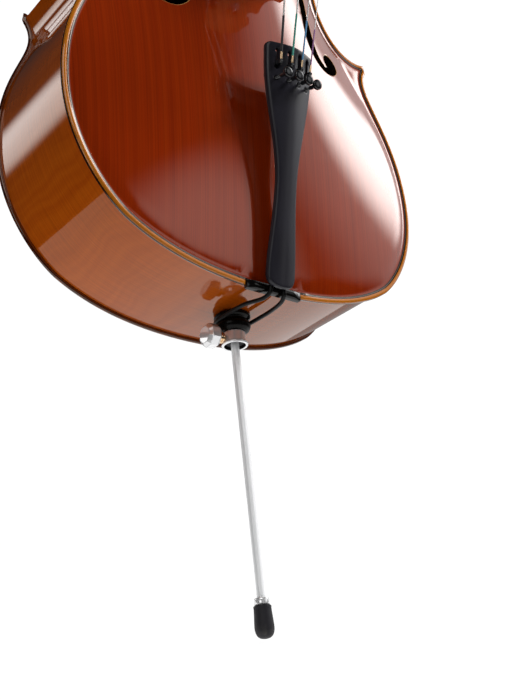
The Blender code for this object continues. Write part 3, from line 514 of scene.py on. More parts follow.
class Look(Nodes):
    """A Principled material, whose sockets are set or linked by name."""

    def __init__(self, name, colour, roughness, metallic=0.0, coat=0.0, coat_roughness=0.03, specular=0.5):
        self.material = bpy.data.materials.new(name)
        self.material.use_nodes = True
        super().__init__(self.material.node_tree)
        self.shader = self.tree.nodes["Principled BSDF"]
        self.set("Base Color", (*colour, 1))
        self.set("Roughness", roughness)
        self.set("Metallic", metallic)
        self.set("Coat Weight", coat)
        self.set("Coat Roughness", coat_roughness)
        self.set("Specular IOR Level", specular)
        self.place = self.node("ShaderNodeTexCoord").outputs["Object"]

    def set(self, socket, value):
        self.shader.inputs[socket].default_value = value

    def link(self, socket, value):
        self.feed(self.shader.inputs[socket], value)

    def split(self):
        made = self.node("ShaderNodeSeparateXYZ")
        self.feed(made.inputs[0], self.place)
        return made.outputs[0], made.outputs[1], made.outputs[2]

    def stretched(self, x, y, z):
        """The place with each axis scaled."""
        made = self.node("ShaderNodeMapping")
        self.feed(made.inputs["Vector"], self.place)
        made.inputs["Scale"].default_value = (x, y, z)
        return made.outputs[0]

    def bump(self, height, strength, depth):
        made = self.node("ShaderNodeBump")
        made.inputs["Strength"].default_value = strength
        made.inputs["Distance"].default_value = depth
        self.feed(made.inputs["Height"], height)
        self.link("Normal", made.outputs[0])


def purfled(look, colour, rim):
    """The plate's colour, with the rim's two stops and the purfling's three lines along its edge."""
    edge = look.attribute("edge")
    dark, pale, start = (0.002, 0.001, 0.001), (0.10, 0.075, 0.065), PURFLING_AT * 100
    stops = (*rim, (start, dark), (start + 0.10, pale), (start + 0.17, dark))
    inlay = look.math("LESS_THAN", edge, PURFLING_AT + PURFLING_WIDTH)
    return look.mix(inlay, colour, look.ramp(look.math("MULTIPLY", edge, 100), *stops, constant=True))


def varnished_spruce():
    """Red-brown varnish over straight-grained spruce, joined in the middle, with purfling, worn orange edges
    and a thin near-black line of painted shade at the very rim.
    """
    look = Look("varnished_spruce", (0.2, 0.03, 0.005), 0.10, coat=1.0, coat_roughness=0.03, specular=0.35)
    look.set("Specular Tint", (1.0, 0.40, 0.12, 1))
    x, _, z = look.split()
    wander = look.noise(look.stretched(6, 0, 1.6), 2.0)
    across = look.math("ADD", look.math("ABSOLUTE", x), look.math("MULTIPLY", wander, 0.010))
    fine = look.noise(look.scaled_join((across, 900), (z, 3.0)), 2.0)
    broad = look.noise(look.scaled_join((across, 150), (z, 2.0)), 3.0)
    cloud = look.noise(look.stretched(5, 5, 5), 3.0)
    deep, middle, pale = (0.215, 0.0150, 0.0004), (0.245, 0.0205, 0.0006), (0.270, 0.0260, 0.0010)
    base = look.ramp(broad, (0.25, deep), (0.60, middle), (0.85, pale))
    lines, patches = look.range(fine, 0.35, 0.62, 0.80, 1.05), look.range(cloud, 0.3, 0.7, 0.82, 1.12)
    base = look.shaded(base, lines, patches)
    # The rim's first stop is painted shade: the outermost 0.3 mm, where the rounded edge turns away from the
    # light, is near-black.
    colour = purfled(look, base, ((0.0, (0.020, 0.005, 0.002)), (0.03, (0.46, 0.140, 0.008))))
    cut = look.attribute("hole")
    colour = look.mix(look.range(cut, 0.0007, 0.0011, 1.0, 0.0), colour, (0.50, 0.24, 0.07))
    # Painted shade: the f-holes' walls and the top within 0.25 mm of them are near-black, where the holes
    # fall into shade.
    colour = look.mix(look.math("LESS_THAN", cut, 0.00025), colour, (0.012, 0.006, 0.004))
    look.link("Base Color", colour)
    haze = look.noise(look.stretched(60, 60, 60), 4.0)
    look.link("Roughness", look.range(haze, 0.3, 0.7, 0.08, 0.16))
    look.bump(look.math("ADD", look.math("MULTIPLY", fine, 0.5), broad), 0.12, 0.00012)
    return look.material


def flame(look, run, along):
    """Bands of maple flame: they cross the grain, waver along it and come and go."""
    sway = look.math("MULTIPLY", look.noise(look.stretched(14, 14, 14), 2.0), 0.030)
    place = look.math("MULTIPLY", look.math("ADD", run, sway), 105)
    return look.noise(look.join(place, look.math("MULTIPLY", along, 6.0), 0.0), 2.0, 0.45)


def varnished_ribs():
    """Amber varnish over maple flamed across each rib, with painted shade that darkens it from the bass side
    towards the treble side, where its coat is also duller.
    """
    look = Look("varnished_ribs", (0.3, 0.09, 0.01), 0.07, coat=1.0, coat_roughness=0.015, specular=0.3)
    look.set("Coat IOR", 1.30)
    look.set("Specular Tint", (1.0, 0.62, 0.14, 1))
    x, y, _ = look.split()
    run = look.attribute("run")
    deep, middle, pale = (0.420, 0.070, 0.0018), (0.470, 0.085, 0.0026), (0.520, 0.102, 0.0038)
    colour = look.ramp(flame(look, run, y), (0.28, deep), (0.52, middle), (0.78, pale))
    fibres = look.join(look.math("MULTIPLY", run, 12), look.math("MULTIPLY", y, 700), 0.0)
    grain = look.noise(fibres, 2.0)
    # depth here is painted shade: the colour falls to 0.42 of itself from x = -0.16 towards the treble side,
    # away from the key light.
    lines, depth = look.range(grain, 0.35, 0.65, 0.86, 1.06), look.range(x, -0.16, 0.06, 1.0, 0.42)
    look.link("Base Color", look.shaded(colour, lines, depth))
    look.link("Coat Weight", look.range(x, -0.02, 0.12, 1.0, 0.10))
    look.bump(grain, 0.08, 0.0001)
    return look.material


def varnished_back():
    """Red-brown varnish over two matched halves of flamed maple, with the same purfling as the top."""
    look = Look("varnished_back", (0.2, 0.04, 0.008), 0.10, coat=1.0, coat_roughness=0.03, specular=0.35)
    look.set("Specular Tint", (1.0, 0.45, 0.15, 1))
    x, _, z = look.split()
    side = look.math("ABSOLUTE", x)
    bands = flame(look, look.math("ADD", z, look.math("MULTIPLY", side, 0.35)), side)
    deep, middle, pale = (0.115, 0.0140, 0.0012), (0.215, 0.0360, 0.0032), (0.34, 0.078, 0.007)
    colour = look.ramp(bands, (0.25, deep), (0.52, middle), (0.80, pale))
    grain = look.noise(look.scaled_join((side, 600), (z, 9)), 2.0)
    colour = look.shaded(colour, look.range(grain, 0.35, 0.65, 0.82, 1.06))
    rim = (0.0, (0.035, 0.005, 0.002)), (0.12, (0.13, 0.024, 0.003))
    look.link("Base Color", purfled(look, colour, rim))
    look.bump(grain, 0.08, 0.0001)
    return look.material


def neck_maple():
    """Varnish on the heel and the head, and a bare, handled shaft between them."""
    look = Look("neck_maple", (0.3, 0.1, 0.02), 0.33, coat=0.8, coat_roughness=0.08, specular=0.1)
    x, _, z = look.split()
    bands = flame(look, z, x)
    varnish = (0.135, 0.020, 0.0018), (0.23, 0.045, 0.004), (0.33, 0.085, 0.009)
    bare = (0.40, 0.20, 0.075), (0.52, 0.29, 0.12), (0.60, 0.36, 0.17)
    dark, pale = [look.ramp(bands, *zip((0.28, 0.55, 0.80), tones)) for tones in (varnish, bare)]
    heel = BODY_BASE + BODY_LENGTH + 0.070
    nut = BODY_BASE + BODY_LENGTH + NECK_LENGTH
    over_heel = look.range(z, heel, heel + 0.030)
    under_nut = look.range(z, nut - 0.040, nut - 0.015, 1.0, 0.0)
    colour = look.mix(look.math("MULTIPLY", over_heel, under_nut), dark, pale)
    grain = look.noise(look.stretched(500, 500, 8), 2.0)
    look.link("Base Color", look.shaded(colour, look.range(grain, 0.35, 0.65, 0.85, 1.05)))
    look.bump(grain, 0.1, 0.0001)
    return look.material


def bridge_maple():
    """Unvarnished maple with short dark flecks."""
    look = Look("bridge_maple", (0.6, 0.4, 0.2), 0.5, coat=0.15, coat_roughness=0.3)
    fleck = look.noise(look.stretched(260, 900, 1400), 2.0)
    tone = look.noise(look.stretched(40, 40, 12), 3.0)
    colour = look.ramp(tone, (0.3, (0.50, 0.29, 0.12)), (0.7, (0.66, 0.43, 0.21)))
    colour = look.mix(look.range(fleck, 0.60, 0.68), colour, (0.30, 0.14, 0.05))
    look.link("Base Color", colour)
    look.bump(fleck, 0.15, 0.0001)
    return look.material


def bare_wood(name, pale, deep):
    """Unfinished wood inside the body."""
    look = Look(name, pale, 0.7)
    grain = look.noise(look.stretched(500, 500, 6), 3.0)
    look.link("Base Color", look.ramp(grain, (0.3, deep), (0.7, pale)))
    look.bump(grain, 0.2, 0.0002)
    return look.material


def ebony(name, roughness, coat):
    """Oiled black wood with fine open pores along the grain."""
    look = Look(name, (0.004, 0.0035, 0.0035), roughness, coat=coat, coat_roughness=0.10, specular=0.06)
    pores = look.noise(look.stretched(900, 900, 24), 3.0)
    tone = look.noise(look.stretched(60, 60, 3), 2.0)
    dark, pale = (0.0016, 0.0014, 0.0013), (0.0050, 0.0040, 0.0034)
    look.link("Base Color", look.ramp(tone, (0.3, dark), (0.75, pale)))
    look.link("Roughness", look.range(pores, 0.35, 0.65, roughness - 0.06, roughness + 0.14))
    look.bump(pores, 0.25, 0.00015)
    return look.material


def composite():
    """Satin moulded plastic, a little blue, with a fine grain."""
    look = Look("composite", (0.012, 0.0125, 0.017), 0.36, specular=0.35)
    speck = look.noise(look.stretched(1500, 1500, 1500), 2.0)
    haze = look.noise(look.stretched(45, 45, 14), 3.0)
    look.link("Base Color", look.ramp(haze, (0.3, (0.0115, 0.0105, 0.0150)), (0.7, (0.0160, 0.0150, 0.0215))))
    look.link("Roughness", look.range(haze, 0.3, 0.7, 0.32, 0.42))
    look.bump(speck, 0.12, 0.00008)
    return look.material


def black_metal():
    """The fine tuners' black finish, glossier than the tailpiece."""
    look = Look("black_metal", (0.012, 0.012, 0.014), 0.16, metallic=0.35, coat=0.6, coat_roughness=0.05)
    speck = look.noise(look.stretched(700, 700, 700), 3.0)
    look.link("Roughness", look.range(speck, 0.3, 0.7, 0.12, 0.24))
    look.bump(speck, 0.1, 0.00005)
    return look.material


def polished(name, colour, low, high, stretch, metallic=1.0, mouth=0.0):
    """Polished metal with faint drawn marks, and near-black painted shade where it's nearer the endpin's axis
    than mouth.
    """
    look = Look(name, colour, low, metallic=metallic)
    if mouth:
        x, y, _ = look.split()
        squares = look.math("ADD", look.math("MULTIPLY", x, x), look.math("MULTIPLY", y, y))
        dark = look.range(look.math("POWER", squares, 0.5), mouth - 0.0002, mouth, 1.0, 0.0)
        look.link("Base Color", look.mix(dark, colour, (0.006, 0.006, 0.006)))
    marks = look.noise(look.stretched(*stretch), 3.0)
    look.link("Roughness", look.range(marks, 0.3, 0.7, low, high))
    look.bump(marks, 0.04, 0.00004)
    return look.material


def wound_metal(name, colour, pitch):
    """Flat wire wound round a string's core: rings along its length."""
    look = Look(name, colour, 0.24, metallic=1.0)
    _, _, z = look.split()
    rings = look.math("PINGPONG", look.math("MULTIPLY", z, 1 / pitch), 0.5)
    look.bump(rings, 0.6, 0.0001)
    tarnish = look.noise(look.stretched(90, 90, 20), 3.0)
    dull = tuple(part * 0.72 for part in colour)
    look.link("Base Color", look.ramp(tarnish, (0.35, dull), (0.65, colour)))
    return look.material


def silk(name, colour):
    """Coloured thread wound over a string's end."""
    look = Look(name, colour, 0.62)
    _, _, z = look.split()
    thread = look.math("PINGPONG", look.math("MULTIPLY", z, 1 / 0.0009), 0.5)
    dark = tuple(part * 0.45 for part in colour)
    look.link("Base Color", look.ramp(thread, (0.0, dark), (0.5, colour)))
    look.set("Sheen Weight", 0.3)
    look.bump(thread, 0.7, 0.00015)
    return look.material


def cord_look():
    """The tail cord: a smooth black synthetic line with a slight twist."""
    look = Look("tail_cord_black", (0.004, 0.004, 0.004), 0.36, specular=0.2)
    strands = look.noise(look.stretched(500, 500, 500), 2.0)
    look.link("Roughness", look.range(strands, 0.3, 0.7, 0.30, 0.48))
    look.bump(strands, 0.2, 0.0001)
    return look.material


def rubber():
    """Dusty black rubber, scuffed where it meets the floor."""
    look = Look("rubber", (0.010, 0.0095, 0.011), 0.55, specular=0.25)
    _, _, z = look.split()
    scuff = look.noise(look.stretched(260, 260, 260), 4.0)
    low = look.range(z, 0.0, 0.012, 1.0, 0.0)
    dust = look.math("MULTIPLY", low, look.range(scuff, 0.45, 0.70))
    look.link("Base Color", look.mix(dust, (0.019, 0.018, 0.0215), (0.060, 0.056, 0.052)))
    look.link("Roughness", look.range(scuff, 0.3, 0.7, 0.46, 0.66))
    look.bump(scuff, 0.25, 0.0002)
    return look.material


LOOK = {
    "top": varnished_spruce(),
    "ribs": varnished_ribs(),
    "back": varnished_back(),
    "neck": neck_maple(),
    "bridge": bridge_maple(),
    "spruce": bare_wood("bare_spruce", (0.66, 0.48, 0.27), (0.48, 0.31, 0.15)),
    "willow": bare_wood("bare_willow", (0.58, 0.42, 0.25), (0.42, 0.28, 0.15)),
    "ebony": ebony("ebony", 0.26, 0.15),
    "saddle": ebony("saddle_ebony", 0.16, 0.6),
    "composite": composite(),
    "tuner": black_metal(),
    "chrome": polished("chrome", (0.94, 0.94, 0.95), 0.04, 0.09, (300, 300, 300), 0.50),
    # The collar's mouth, within 10.7 mm of the axis, is painted near-black as shade.
    "collar": polished("collar_chrome", (0.94, 0.94, 0.95), 0.04, 0.09, (300, 300, 300), 0.50, 0.0107),
    "steel": polished("rod_steel", (0.98, 0.99, 1.0), 0.22, 0.32, (900, 900, 12), 0.12),
    "brass": polished("brass", (0.80, 0.56, 0.34), 0.14, 0.22, (400, 400, 400)),
    "cord": cord_look(),
    "rubber": rubber(),
}


# The body


def plate_height(height):
    """The outer and inner face's heights over the ribs at flat points."""

    def outer(points, depth):
        x, z = points[:, 0], points[:, 1]
        swell = arch(x, z, height) * smoothstep((depth - 0.002) / 0.022)
        crest = CREST * np.exp(-(((depth - 0.0028) / 0.0018) ** 2))
        channel = CHANNEL * np.exp(-(((depth - CHANNEL_AT) / 0.0035) ** 2))
        return EDGE / 2 + round_edge(depth, EDGE_ROUND) + swell + crest - channel

    def inner(points, depth):
        x, z = points[:, 0], points[:, 1]
        return EDGE / 2 - round_edge(depth, EDGE_ROUND) + arch(x, z, height, GLUE_BAND, END_BAND)

    return outer, inner


def f_hole():
    """The treble f-hole as a loop of (x, z). Its upper half is the lower one turned round and shrunk."""
    count = 12
    eye, radius = np.array((0.1140, 0.3020)), 0.0118
    middle = np.array((0.0800, 0.3530))
    turn = np.radians(np.linspace(226, -35, 3 * count))
    stem = bezier((0.0852, 0.3514), (0.0860, 0.3380), (0.0862, 0.3250), (0.0880, 0.3130), count)
    tongue = bezier((0.0880, 0.3130), (0.0898, 0.3020), (0.0950, 0.2925), (0.1040, 0.2915), count)
    round_eye = eye + radius * np.column_stack([np.cos(turn), np.sin(turn)])
    hook = bezier(round_eye[-1], (0.1190, 0.2885), (0.1120, 0.2835), (0.1020, 0.2832), count)[1:]
    heel = bezier((0.1020, 0.2832), (0.0900, 0.2830), (0.0785, 0.2960), (0.0752, 0.3150), count)
    back = bezier((0.0752, 0.3150), (0.0735, 0.3290), (0.0740, 0.3420), (0.0748, 0.3514), count)
    lower = np.vstack([(0.0864, 0.3530), stem, tongue, round_eye, hook, heel, back, (0.0748, 0.3514)])
    arm = lower - middle
    upper = middle - arm * (1 - 0.15 * np.abs(arm[:, 1:]) / 0.07)
    return np.vstack([lower, upper])[::-1]


def make_top():
    lower, middle, upper = bout_lines()
    edge_loop = whole_outline()
    neck_half = 0.0215
    neck_cut = BODY_LENGTH - OVERHANG - RIB_THICKNESS
    notch = SADDLE_HALF + GAP
    sides = np.vstack([lower[lower[:, 0] > notch + 0.002], middle, upper[upper[:, 0] > neck_half + 0.002]])
    corner = (notch, float(np.interp(notch, lower[:60, 0], lower[:60, 1])))
    shoulder = (neck_half, float(np.interp(-neck_half, -upper[-60:, 0], upper[-60:, 1])))
    low_start = [(x, SADDLE_DEPTH) for x in np.linspace(0, notch, 7)]
    half = np.vstack([low_start, [corner], sides, [shoulder, (neck_half, neck_cut), (0, neck_cut)]])
    loop = both_sides(half)
    hole = f_hole()
    holes = [hole, mirrored(hole)[::-1]]
    outer, inner = plate_height(TOP_ARCH)

    def lift(points, side):
        depth = distance(points, edge_loop)
        cut = np.minimum(*[distance(points, h) for h in holes])
        softened = 0.0005 * (1 - smoothstep(cut / 0.0006))
        rise = inner(points, depth) if side else outer(points, depth) - softened
        return np.column_stack([points[:, 0], -(RIB_HEIGHT / 2 + rise), points[:, 1] + BODY_BASE])

    points = filled_points([loop, *holes], PLATE_GRID, 0.014, PLATE_RINGS)
    values = {
        "edge": lambda flat: distance(flat, edge_loop),
        "hole": lambda flat: np.minimum(*[distance(flat, h) for h in holes]),
    }
    top = shell_piece("belly", [loop, *holes], points, lift, values)
    place_piece(top, LOOK["top"], "body", ["top_plate"])


def make_back():
    lower, middle, upper = bout_lines()
    natural = whole_outline()
    button_half, button_rise = 0.0145, 0.020
    bend = np.linspace(0, math.pi / 2, 14)
    rise = button_rise - button_half
    button = np.column_stack([button_half * np.cos(bend), BODY_LENGTH + rise + button_half * np.sin(bend)])
    sides = np.vstack([lower, middle, upper[upper[:, 0] > button_half + 0.002]])
    half = np.vstack([sides, [(button_half, BODY_LENGTH - 0.0006)], button])
    loop = both_sides(half)
    outer, inner = plate_height(BACK_ARCH)

    def lift(points, side):
        depth = distance(points, loop)
        rise = inner(points, depth) if side else outer(points, depth)
        return np.column_stack([points[:, 0], RIB_HEIGHT / 2 + rise, points[:, 1] + BODY_BASE])

    def purfling(flat):
        return np.where(inside(flat, natural), distance(flat, natural), 0.010)

    points = filled_points([loop], PLATE_GRID, 0.014, PLATE_RINGS)
    back = shell_piece("maple_back", [loop], points, lift, {"edge": purfling})
    place_piece(back, LOOK["back"], "body", ["back_plate"])


def make_ribs():
    lower, middle, upper = bout_lines(9)
    depth = RIB_HEIGHT / 2 - GAP / 2
    heel = trimmed(upper, 0.0, 0.024)
    c_line = trimmed(middle, 0.004, 0.004)
    lines = {
        "rib_lower": np.vstack([mirrored(lower)[:0:-1], lower]),
        "rib_c_treble": c_line,
        "rib_c_bass": mirrored(c_line)[::-1],
        "rib_upper_treble": heel,
        "rib_upper_bass": mirrored(heel)[::-1],
    }
    for node, line in lines.items():
        outer, inner = offset(line, OVERHANG), offset(line, OVERHANG + RIB_THICKNESS)
        sections = [
            [
                (a[0], -depth, a[1] + BODY_BASE),
                (a[0], depth, a[1] + BODY_BASE),
                (b[0], depth, b[1] + BODY_BASE),
                (b[0], -depth, b[1] + BODY_BASE),
            ]
            for a, b in zip(outer, inner)
        ]
        run = np.repeat(lengths_along(line), 4)
        rib = loft(f"{node}_flamed", sections, values={"run": run})
        place_piece(rib, LOOK["ribs"], "body", [node])


# The neck's own frame: s runs down the fingerboard from the nut, n stands out of its glue surface

NUT_Z = BODY_LENGTH + NECK_LENGTH * math.cos(NECK_SLOPE)
NUT_Y = -(RIB_HEIGHT / 2 + EDGE + OVERSTAND - NECK_LENGTH * math.sin(NECK_SLOPE))
NUT_POINT = Vector((0, NUT_Y, NUT_Z + BODY_BASE))
BOARD_DOWN = Vector((0, -math.sin(NECK_SLOPE), -math.cos(NECK_SLOPE)))
BOARD_OUT = Vector((0, -math.cos(NECK_SLOPE), math.sin(NECK_SLOPE)))
HEAD_SLOPE = NECK_SLOPE + PEGBOX_SLOPE
HEAD_UP = Vector((0, math.sin(HEAD_SLOPE), math.cos(HEAD_SLOPE)))
HEAD_OUT = Vector((0, -math.cos(HEAD_SLOPE), math.sin(HEAD_SLOPE)))
HEAD_BASE = NUT_POINT - BOARD_DOWN * (NUT_THICKNESS + 0.001) + BOARD_OUT * 0.002


def neck_point(x, s, n):
    return NUT_POINT + Vector((x, 0, 0)) + BOARD_DOWN * s + BOARD_OUT * n


def head_point(x, a, b):
    """a runs up the pegbox's front edge from the nut, and b goes back from it."""
    return HEAD_BASE + Vector((x, 0, 0)) + HEAD_UP * a - HEAD_OUT * b


def board_half(s):
    return (NUT_WIDTH + (BOARD_END_WIDTH - NUT_WIDTH) * s / BOARD_LENGTH) / 2


def board_crown(x, s):
    """Height of the fingerboard's playing surface over its glue surface."""
    half = board_half(s)
    drop = math.sqrt(BOARD_RADIUS**2 - half**2)
    return BOARD_EDGE + math.sqrt(BOARD_RADIUS**2 - x**2) - drop


def neck_section(z, back_y, width_front, width_back, power):
    """A section across the neck at height z, from the fingerboard's surface to back_y."""
    front = NUT_POINT.y + (NUT_Z - z) * -math.tan(NECK_SLOPE)
    depth = back_y - front
    ring = []
    for t in np.linspace(0, math.pi, 33):
        share = max(math.sin(t), 0) ** (2 / power)
        width = width_front + (width_back - width_front) * share
        x = width * math.copysign(abs(math.cos(t)) ** (2 / power), math.cos(t))
        ring.append((x, front + depth * share, z + BODY_BASE))
    return ring


def make_neck():
    heel_top, heel_low = BODY_LENGTH + 0.085, BODY_LENGTH + 0.018
    back = RIB_HEIGHT / 2 - GAP
    sections = []
    for z in np.linspace(NUT_Z + 0.006, heel_top, 16):
        s = (NUT_Z - z) / math.cos(NECK_SLOPE)
        half = board_half(max(s, 0))
        glue = NUT_POINT.y - (NUT_Z - z) * math.tan(NECK_SLOPE)
        sections.append(neck_section(z, glue + 0.0215 + 0.010 * max(s, 0), half - 0.0004, half * 0.9, 2.1))
    start = sections[-1][16][1]
    for turn in np.linspace(0, math.pi / 2, 20)[1:]:
        z = heel_top - (heel_top - heel_low) * math.sin(turn)
        half = board_half((NUT_Z - z) / math.cos(NECK_SLOPE))
        share = turn / (math.pi / 2)
        back_y = start + (back - start) * (1 - math.cos(turn))
        widths = half - 0.0004 - 0.002 * share, half * 0.9 + (0.0165 - half * 0.9) * share
        sections.append(neck_section(z, back_y, *widths, 2.1 + 2.4 * share))
    foot = BODY_LENGTH - OVERHANG - RIB_THICKNESS + GAP
    sections.append(neck_section(foot, back, 0.0208, 0.0165, 4.5))
    neck = loft("neck_shaft", sections, 50)
    place_piece(neck, LOOK["neck"], "body", ["neck"])


def box_half(a):
    """The pegbox's half width at a."""
    return 0.0245 - 0.0085 * min(max(a / 0.125, 0), 1)


CHIN_CURVE = bezier((-0.006, 0.0235), (0.010, 0.048), (0.060, 0.041), (0.098, 0.0335), 30)
CHIN = np.vstack([CHIN_CURVE, [(0.098, 0.0335), (0.120, 0.0330)]])


def chin(a):
    """How far back the pegbox reaches at a."""
    return float(np.interp(a, CHIN[:, 0], CHIN[:, 1]))


def make_pegbox():
    """The pegbox as a trough with a fluted back."""
    sections = []
    for a in np.linspace(-0.006, 0.112, 40):
        half, back = box_half(a), chin(a)
        wall = half - (0.0155 - 0.007 * max(a, 0) / 0.114)
        floor = min(0.0255, back - 0.006) if a > 0.004 else 0.0
        hollow = half - wall
        outer = [(half, 0.0), (half, back - 0.004), (half - 0.0012, back - 0.0008), (half - 0.003, back)]
        right = [*outer, (half * 0.5, back - 0.0022), (half * 0.12, back - 0.0006), (0.0, back)]
        left = [(-x, b) for x, b in right[:-1][::-1]]
        trough = [(-hollow, 0.0), (-hollow + 0.0008, floor), (hollow - 0.0008, floor), (hollow, 0.0)]
        sections.append([head_point(x, a, b) for x, b in [*right, *left, *trough]])
    place_piece(loft("pegbox", sections, 35), LOOK["neck"], "body", [])


def make_throat():
    """The solid throat between the pegbox and the scroll."""
    sections = []
    for share in np.linspace(0, 1, 12):
        a = 0.1115 + 0.030 * share
        front = -0.0135 * share**1.6
        back = 0.0330 * (1 - share) + 0.020 * share
        half = box_half(a) * (1 - share) + 0.0150 * share
        right = [(half - 0.001, front), (half, front + 0.001), (half, back), (half - 0.002, back)]
        sections.append([head_point(x, a, b) for x, b in [*right, *[(-x, b) for x, b in right[::-1]]]])
    place_piece(loft("scroll_throat", sections, 35), LOOK["neck"], "body", [])


def scroll_radius(turn):
    return SCROLL_RADIUS * math.exp(-SCROLL_DECAY * turn)


def scroll_section(turn):
    """Half of the volute's section at a turn: (x, radius) from its middle ridge to its inner side."""
    outer = scroll_radius(max(turn, 0.0))
    inner = max(scroll_radius(turn + 2 * math.pi) - 0.0015, 0.0035)
    half = 0.031 - 0.0165 * min(max((outer - 0.007) / 0.030, 0), 1)
    band = outer - inner
    flute = [(0.0, outer), (half * 0.14, outer - 0.0005), (half * 0.52, outer - 0.0024)]
    rim = [(half - 0.0032, outer - 0.0004), (half - 0.0014, outer), (half, outer - 0.0014)]
    rim += [(half - 0.0006, outer - 0.0026), (half - 0.0024, outer - 0.45 * band)]
    return [*flute, *rim, (half - 0.0030, outer - 0.8 * band), (half - 0.0030, inner)]


def make_scroll():
    """The volute: a fluted ribbon that winds in round its eye and widens as it goes."""
    start = math.radians(150)
    sections = []
    for turn in np.linspace(-0.35, 4.9 * math.pi, 190):
        right = scroll_section(turn)
        ring = [*right, *[(-x, r) for x, r in right[:0:-1]]]
        up, back = math.cos(start - turn), math.sin(start - turn)
        a, b = SCROLL_CENTRE
        sections.append([head_point(x, a + r * up, b + r * back) for x, r in ring])
    place_piece(loft("scroll", sections, 38), LOOK["neck"], "body", [])


def make_scroll_eye():
    place = Matrix.Translation(head_point(0, *SCROLL_CENTRE)) @ Matrix.Rotation(math.pi / 2, 4, "Y")
    side = [(0, 0.0315), (0.004, 0.0313), (0.0060, 0.0305), (0.0070, 0.0290), (0.0074, 0.0260)]
    eye = turned("scroll_eye", [*side, *[(r, -z) for r, z in side[::-1]]], 48, place)
    place_piece(eye, LOOK["neck"], "body", [])


def peg_side(string):
    return -1 if string in "cg" else 1


def peg_frame(string):
    """The peg's own frame: its z axis runs out to the head of the peg."""
    centre = head_point(0, PEG_PLACE[string], 0.0135)
    out = Vector((peg_side(string), 0, 0))
    return axes_at(centre, HEAD_OUT, out.cross(HEAD_OUT), out)


def peg_radius(z):
    return 0.0068 + 0.0010 * z / 0.030


def string_place_on_peg(string):
    """How far along the peg its string winds up."""
    return 0.5 * peg_side(string) * STRINGS[string] * NUT_SPREAD / 3 - 0.001


def make_peg(string):
    wall = box_half(PEG_PLACE[string])
    end, collar = -wall - 0.002, wall + 0.0035
    shaft = [(0, end), (peg_radius(-wall) - 0.0010, end), (peg_radius(-wall), -wall - 0.001)]
    shaft += [(peg_radius(collar), collar)]
    ring = [(0.0100, 0.0003), (0.0112, 0.0010), (0.0113, 0.0024), (0.0104, 0.0034), (0.0096, 0.0038)]
    thumb = [(0.0090, 0.0052, 1.0), (0.0079, 0.0080, 0.92), (0.0090, 0.0115, 0.68), (0.0150, 0.0190, 0.44)]
    thumb += [(0.0176, 0.0260, 0.37), (0.0166, 0.0330, 0.35), (0.0118, 0.0385, 0.40), (0.0052, 0.0410, 0.62)]
    thumb += [(0.0026, 0.0418, 1.0)]
    bulb = [(0.0030, 0.0424, 1.0), (0.0030, 0.0436, 1.0), (0.0016, 0.0446, 1.0), (0.0, 0.0448, 1.0)]
    head = raised(collar, [*ring, *smooth_path(thumb, 40), *bulb])
    peg = turned(f"turned_peg_{string}", [*shaft, *head], 40, peg_frame(string), 35)
    place_piece(peg, LOOK["ebony"], f"peg_{string}_body", [f"peg_{string}"])


def make_winding(string):
    """The string's two turns on its peg."""
    wind = STRING_RADIUS[string]
    middle = string_place_on_peg(string)
    radius = peg_radius(middle) + GAP + wind
    coil = []
    for share in np.linspace(0, 1, 61):
        around = 4 * math.pi * share
        along = middle + (4 * share - 2) * wind * 0.92
        coil.append(peg_frame(string) @ Vector((radius * math.cos(around), radius * math.sin(around), along)))
    turns = tube(f"string_{string}_turns", coil, wind, 3)
    node = f"{string}_string_winding"
    place_piece(turns, STRING_LOOK[string], f"peg_{string}_body", [node])


def make_fingerboard():
    sections = []
    for s in np.linspace(GAP, BOARD_LENGTH, 24):
        half, low = board_half(s), BOARD_EDGE - 0.0008
        scoop = 0.0012 if s > NECK_LENGTH else GAP
        depth = 0.0045 if s > NECK_LENGTH else 0.0
        across = np.linspace(-0.8 * half, 0.8 * half, 9)
        under = [neck_point(x, s, scoop + depth * (1 - (x / half) ** 2)) for x in across]
        roof = [neck_point(x, s, board_crown(x, s)) for x in np.linspace(half - 0.0004, -half + 0.0004, 33)]
        left, right = [[neck_point(x, s, n) for n in (low, GAP)] for x in (-half, half)]
        sections.append([*left, *under, *right[::-1], *roof])
    board = loft("ebony_fingerboard", sections, 35)
    place_piece(board, LOOK["ebony"], "body", ["fingerboard"])


def make_nut():
    half = NUT_WIDTH / 2
    front = [(0.0, 0.0002), (-0.0006, 0.0008), (-0.002, NUT_RISE)]
    back = [(-0.0042, -0.0002), (-0.0060, -0.0018), (-0.0064, -0.003)]
    sections = []
    for s, rise in [*front, *back]:
        roof = [neck_point(x, s, board_crown(x, 0) + rise) for x in np.linspace(half, -half, 33)]
        sections.append([neck_point(-half, s, GAP), neck_point(half, s, GAP), *roof])
    nut = bevelled(loft("ebony_nut", sections, 35), 0.0004)
    place_piece(nut, LOOK["ebony"], "body", ["nut"])


# The bridge


def bridge_crown(x):
    """Height of the bridge's upper edge over the top's highest point."""
    return BRIDGE_HEIGHT - (x / 0.026) ** 2 * 0.0085


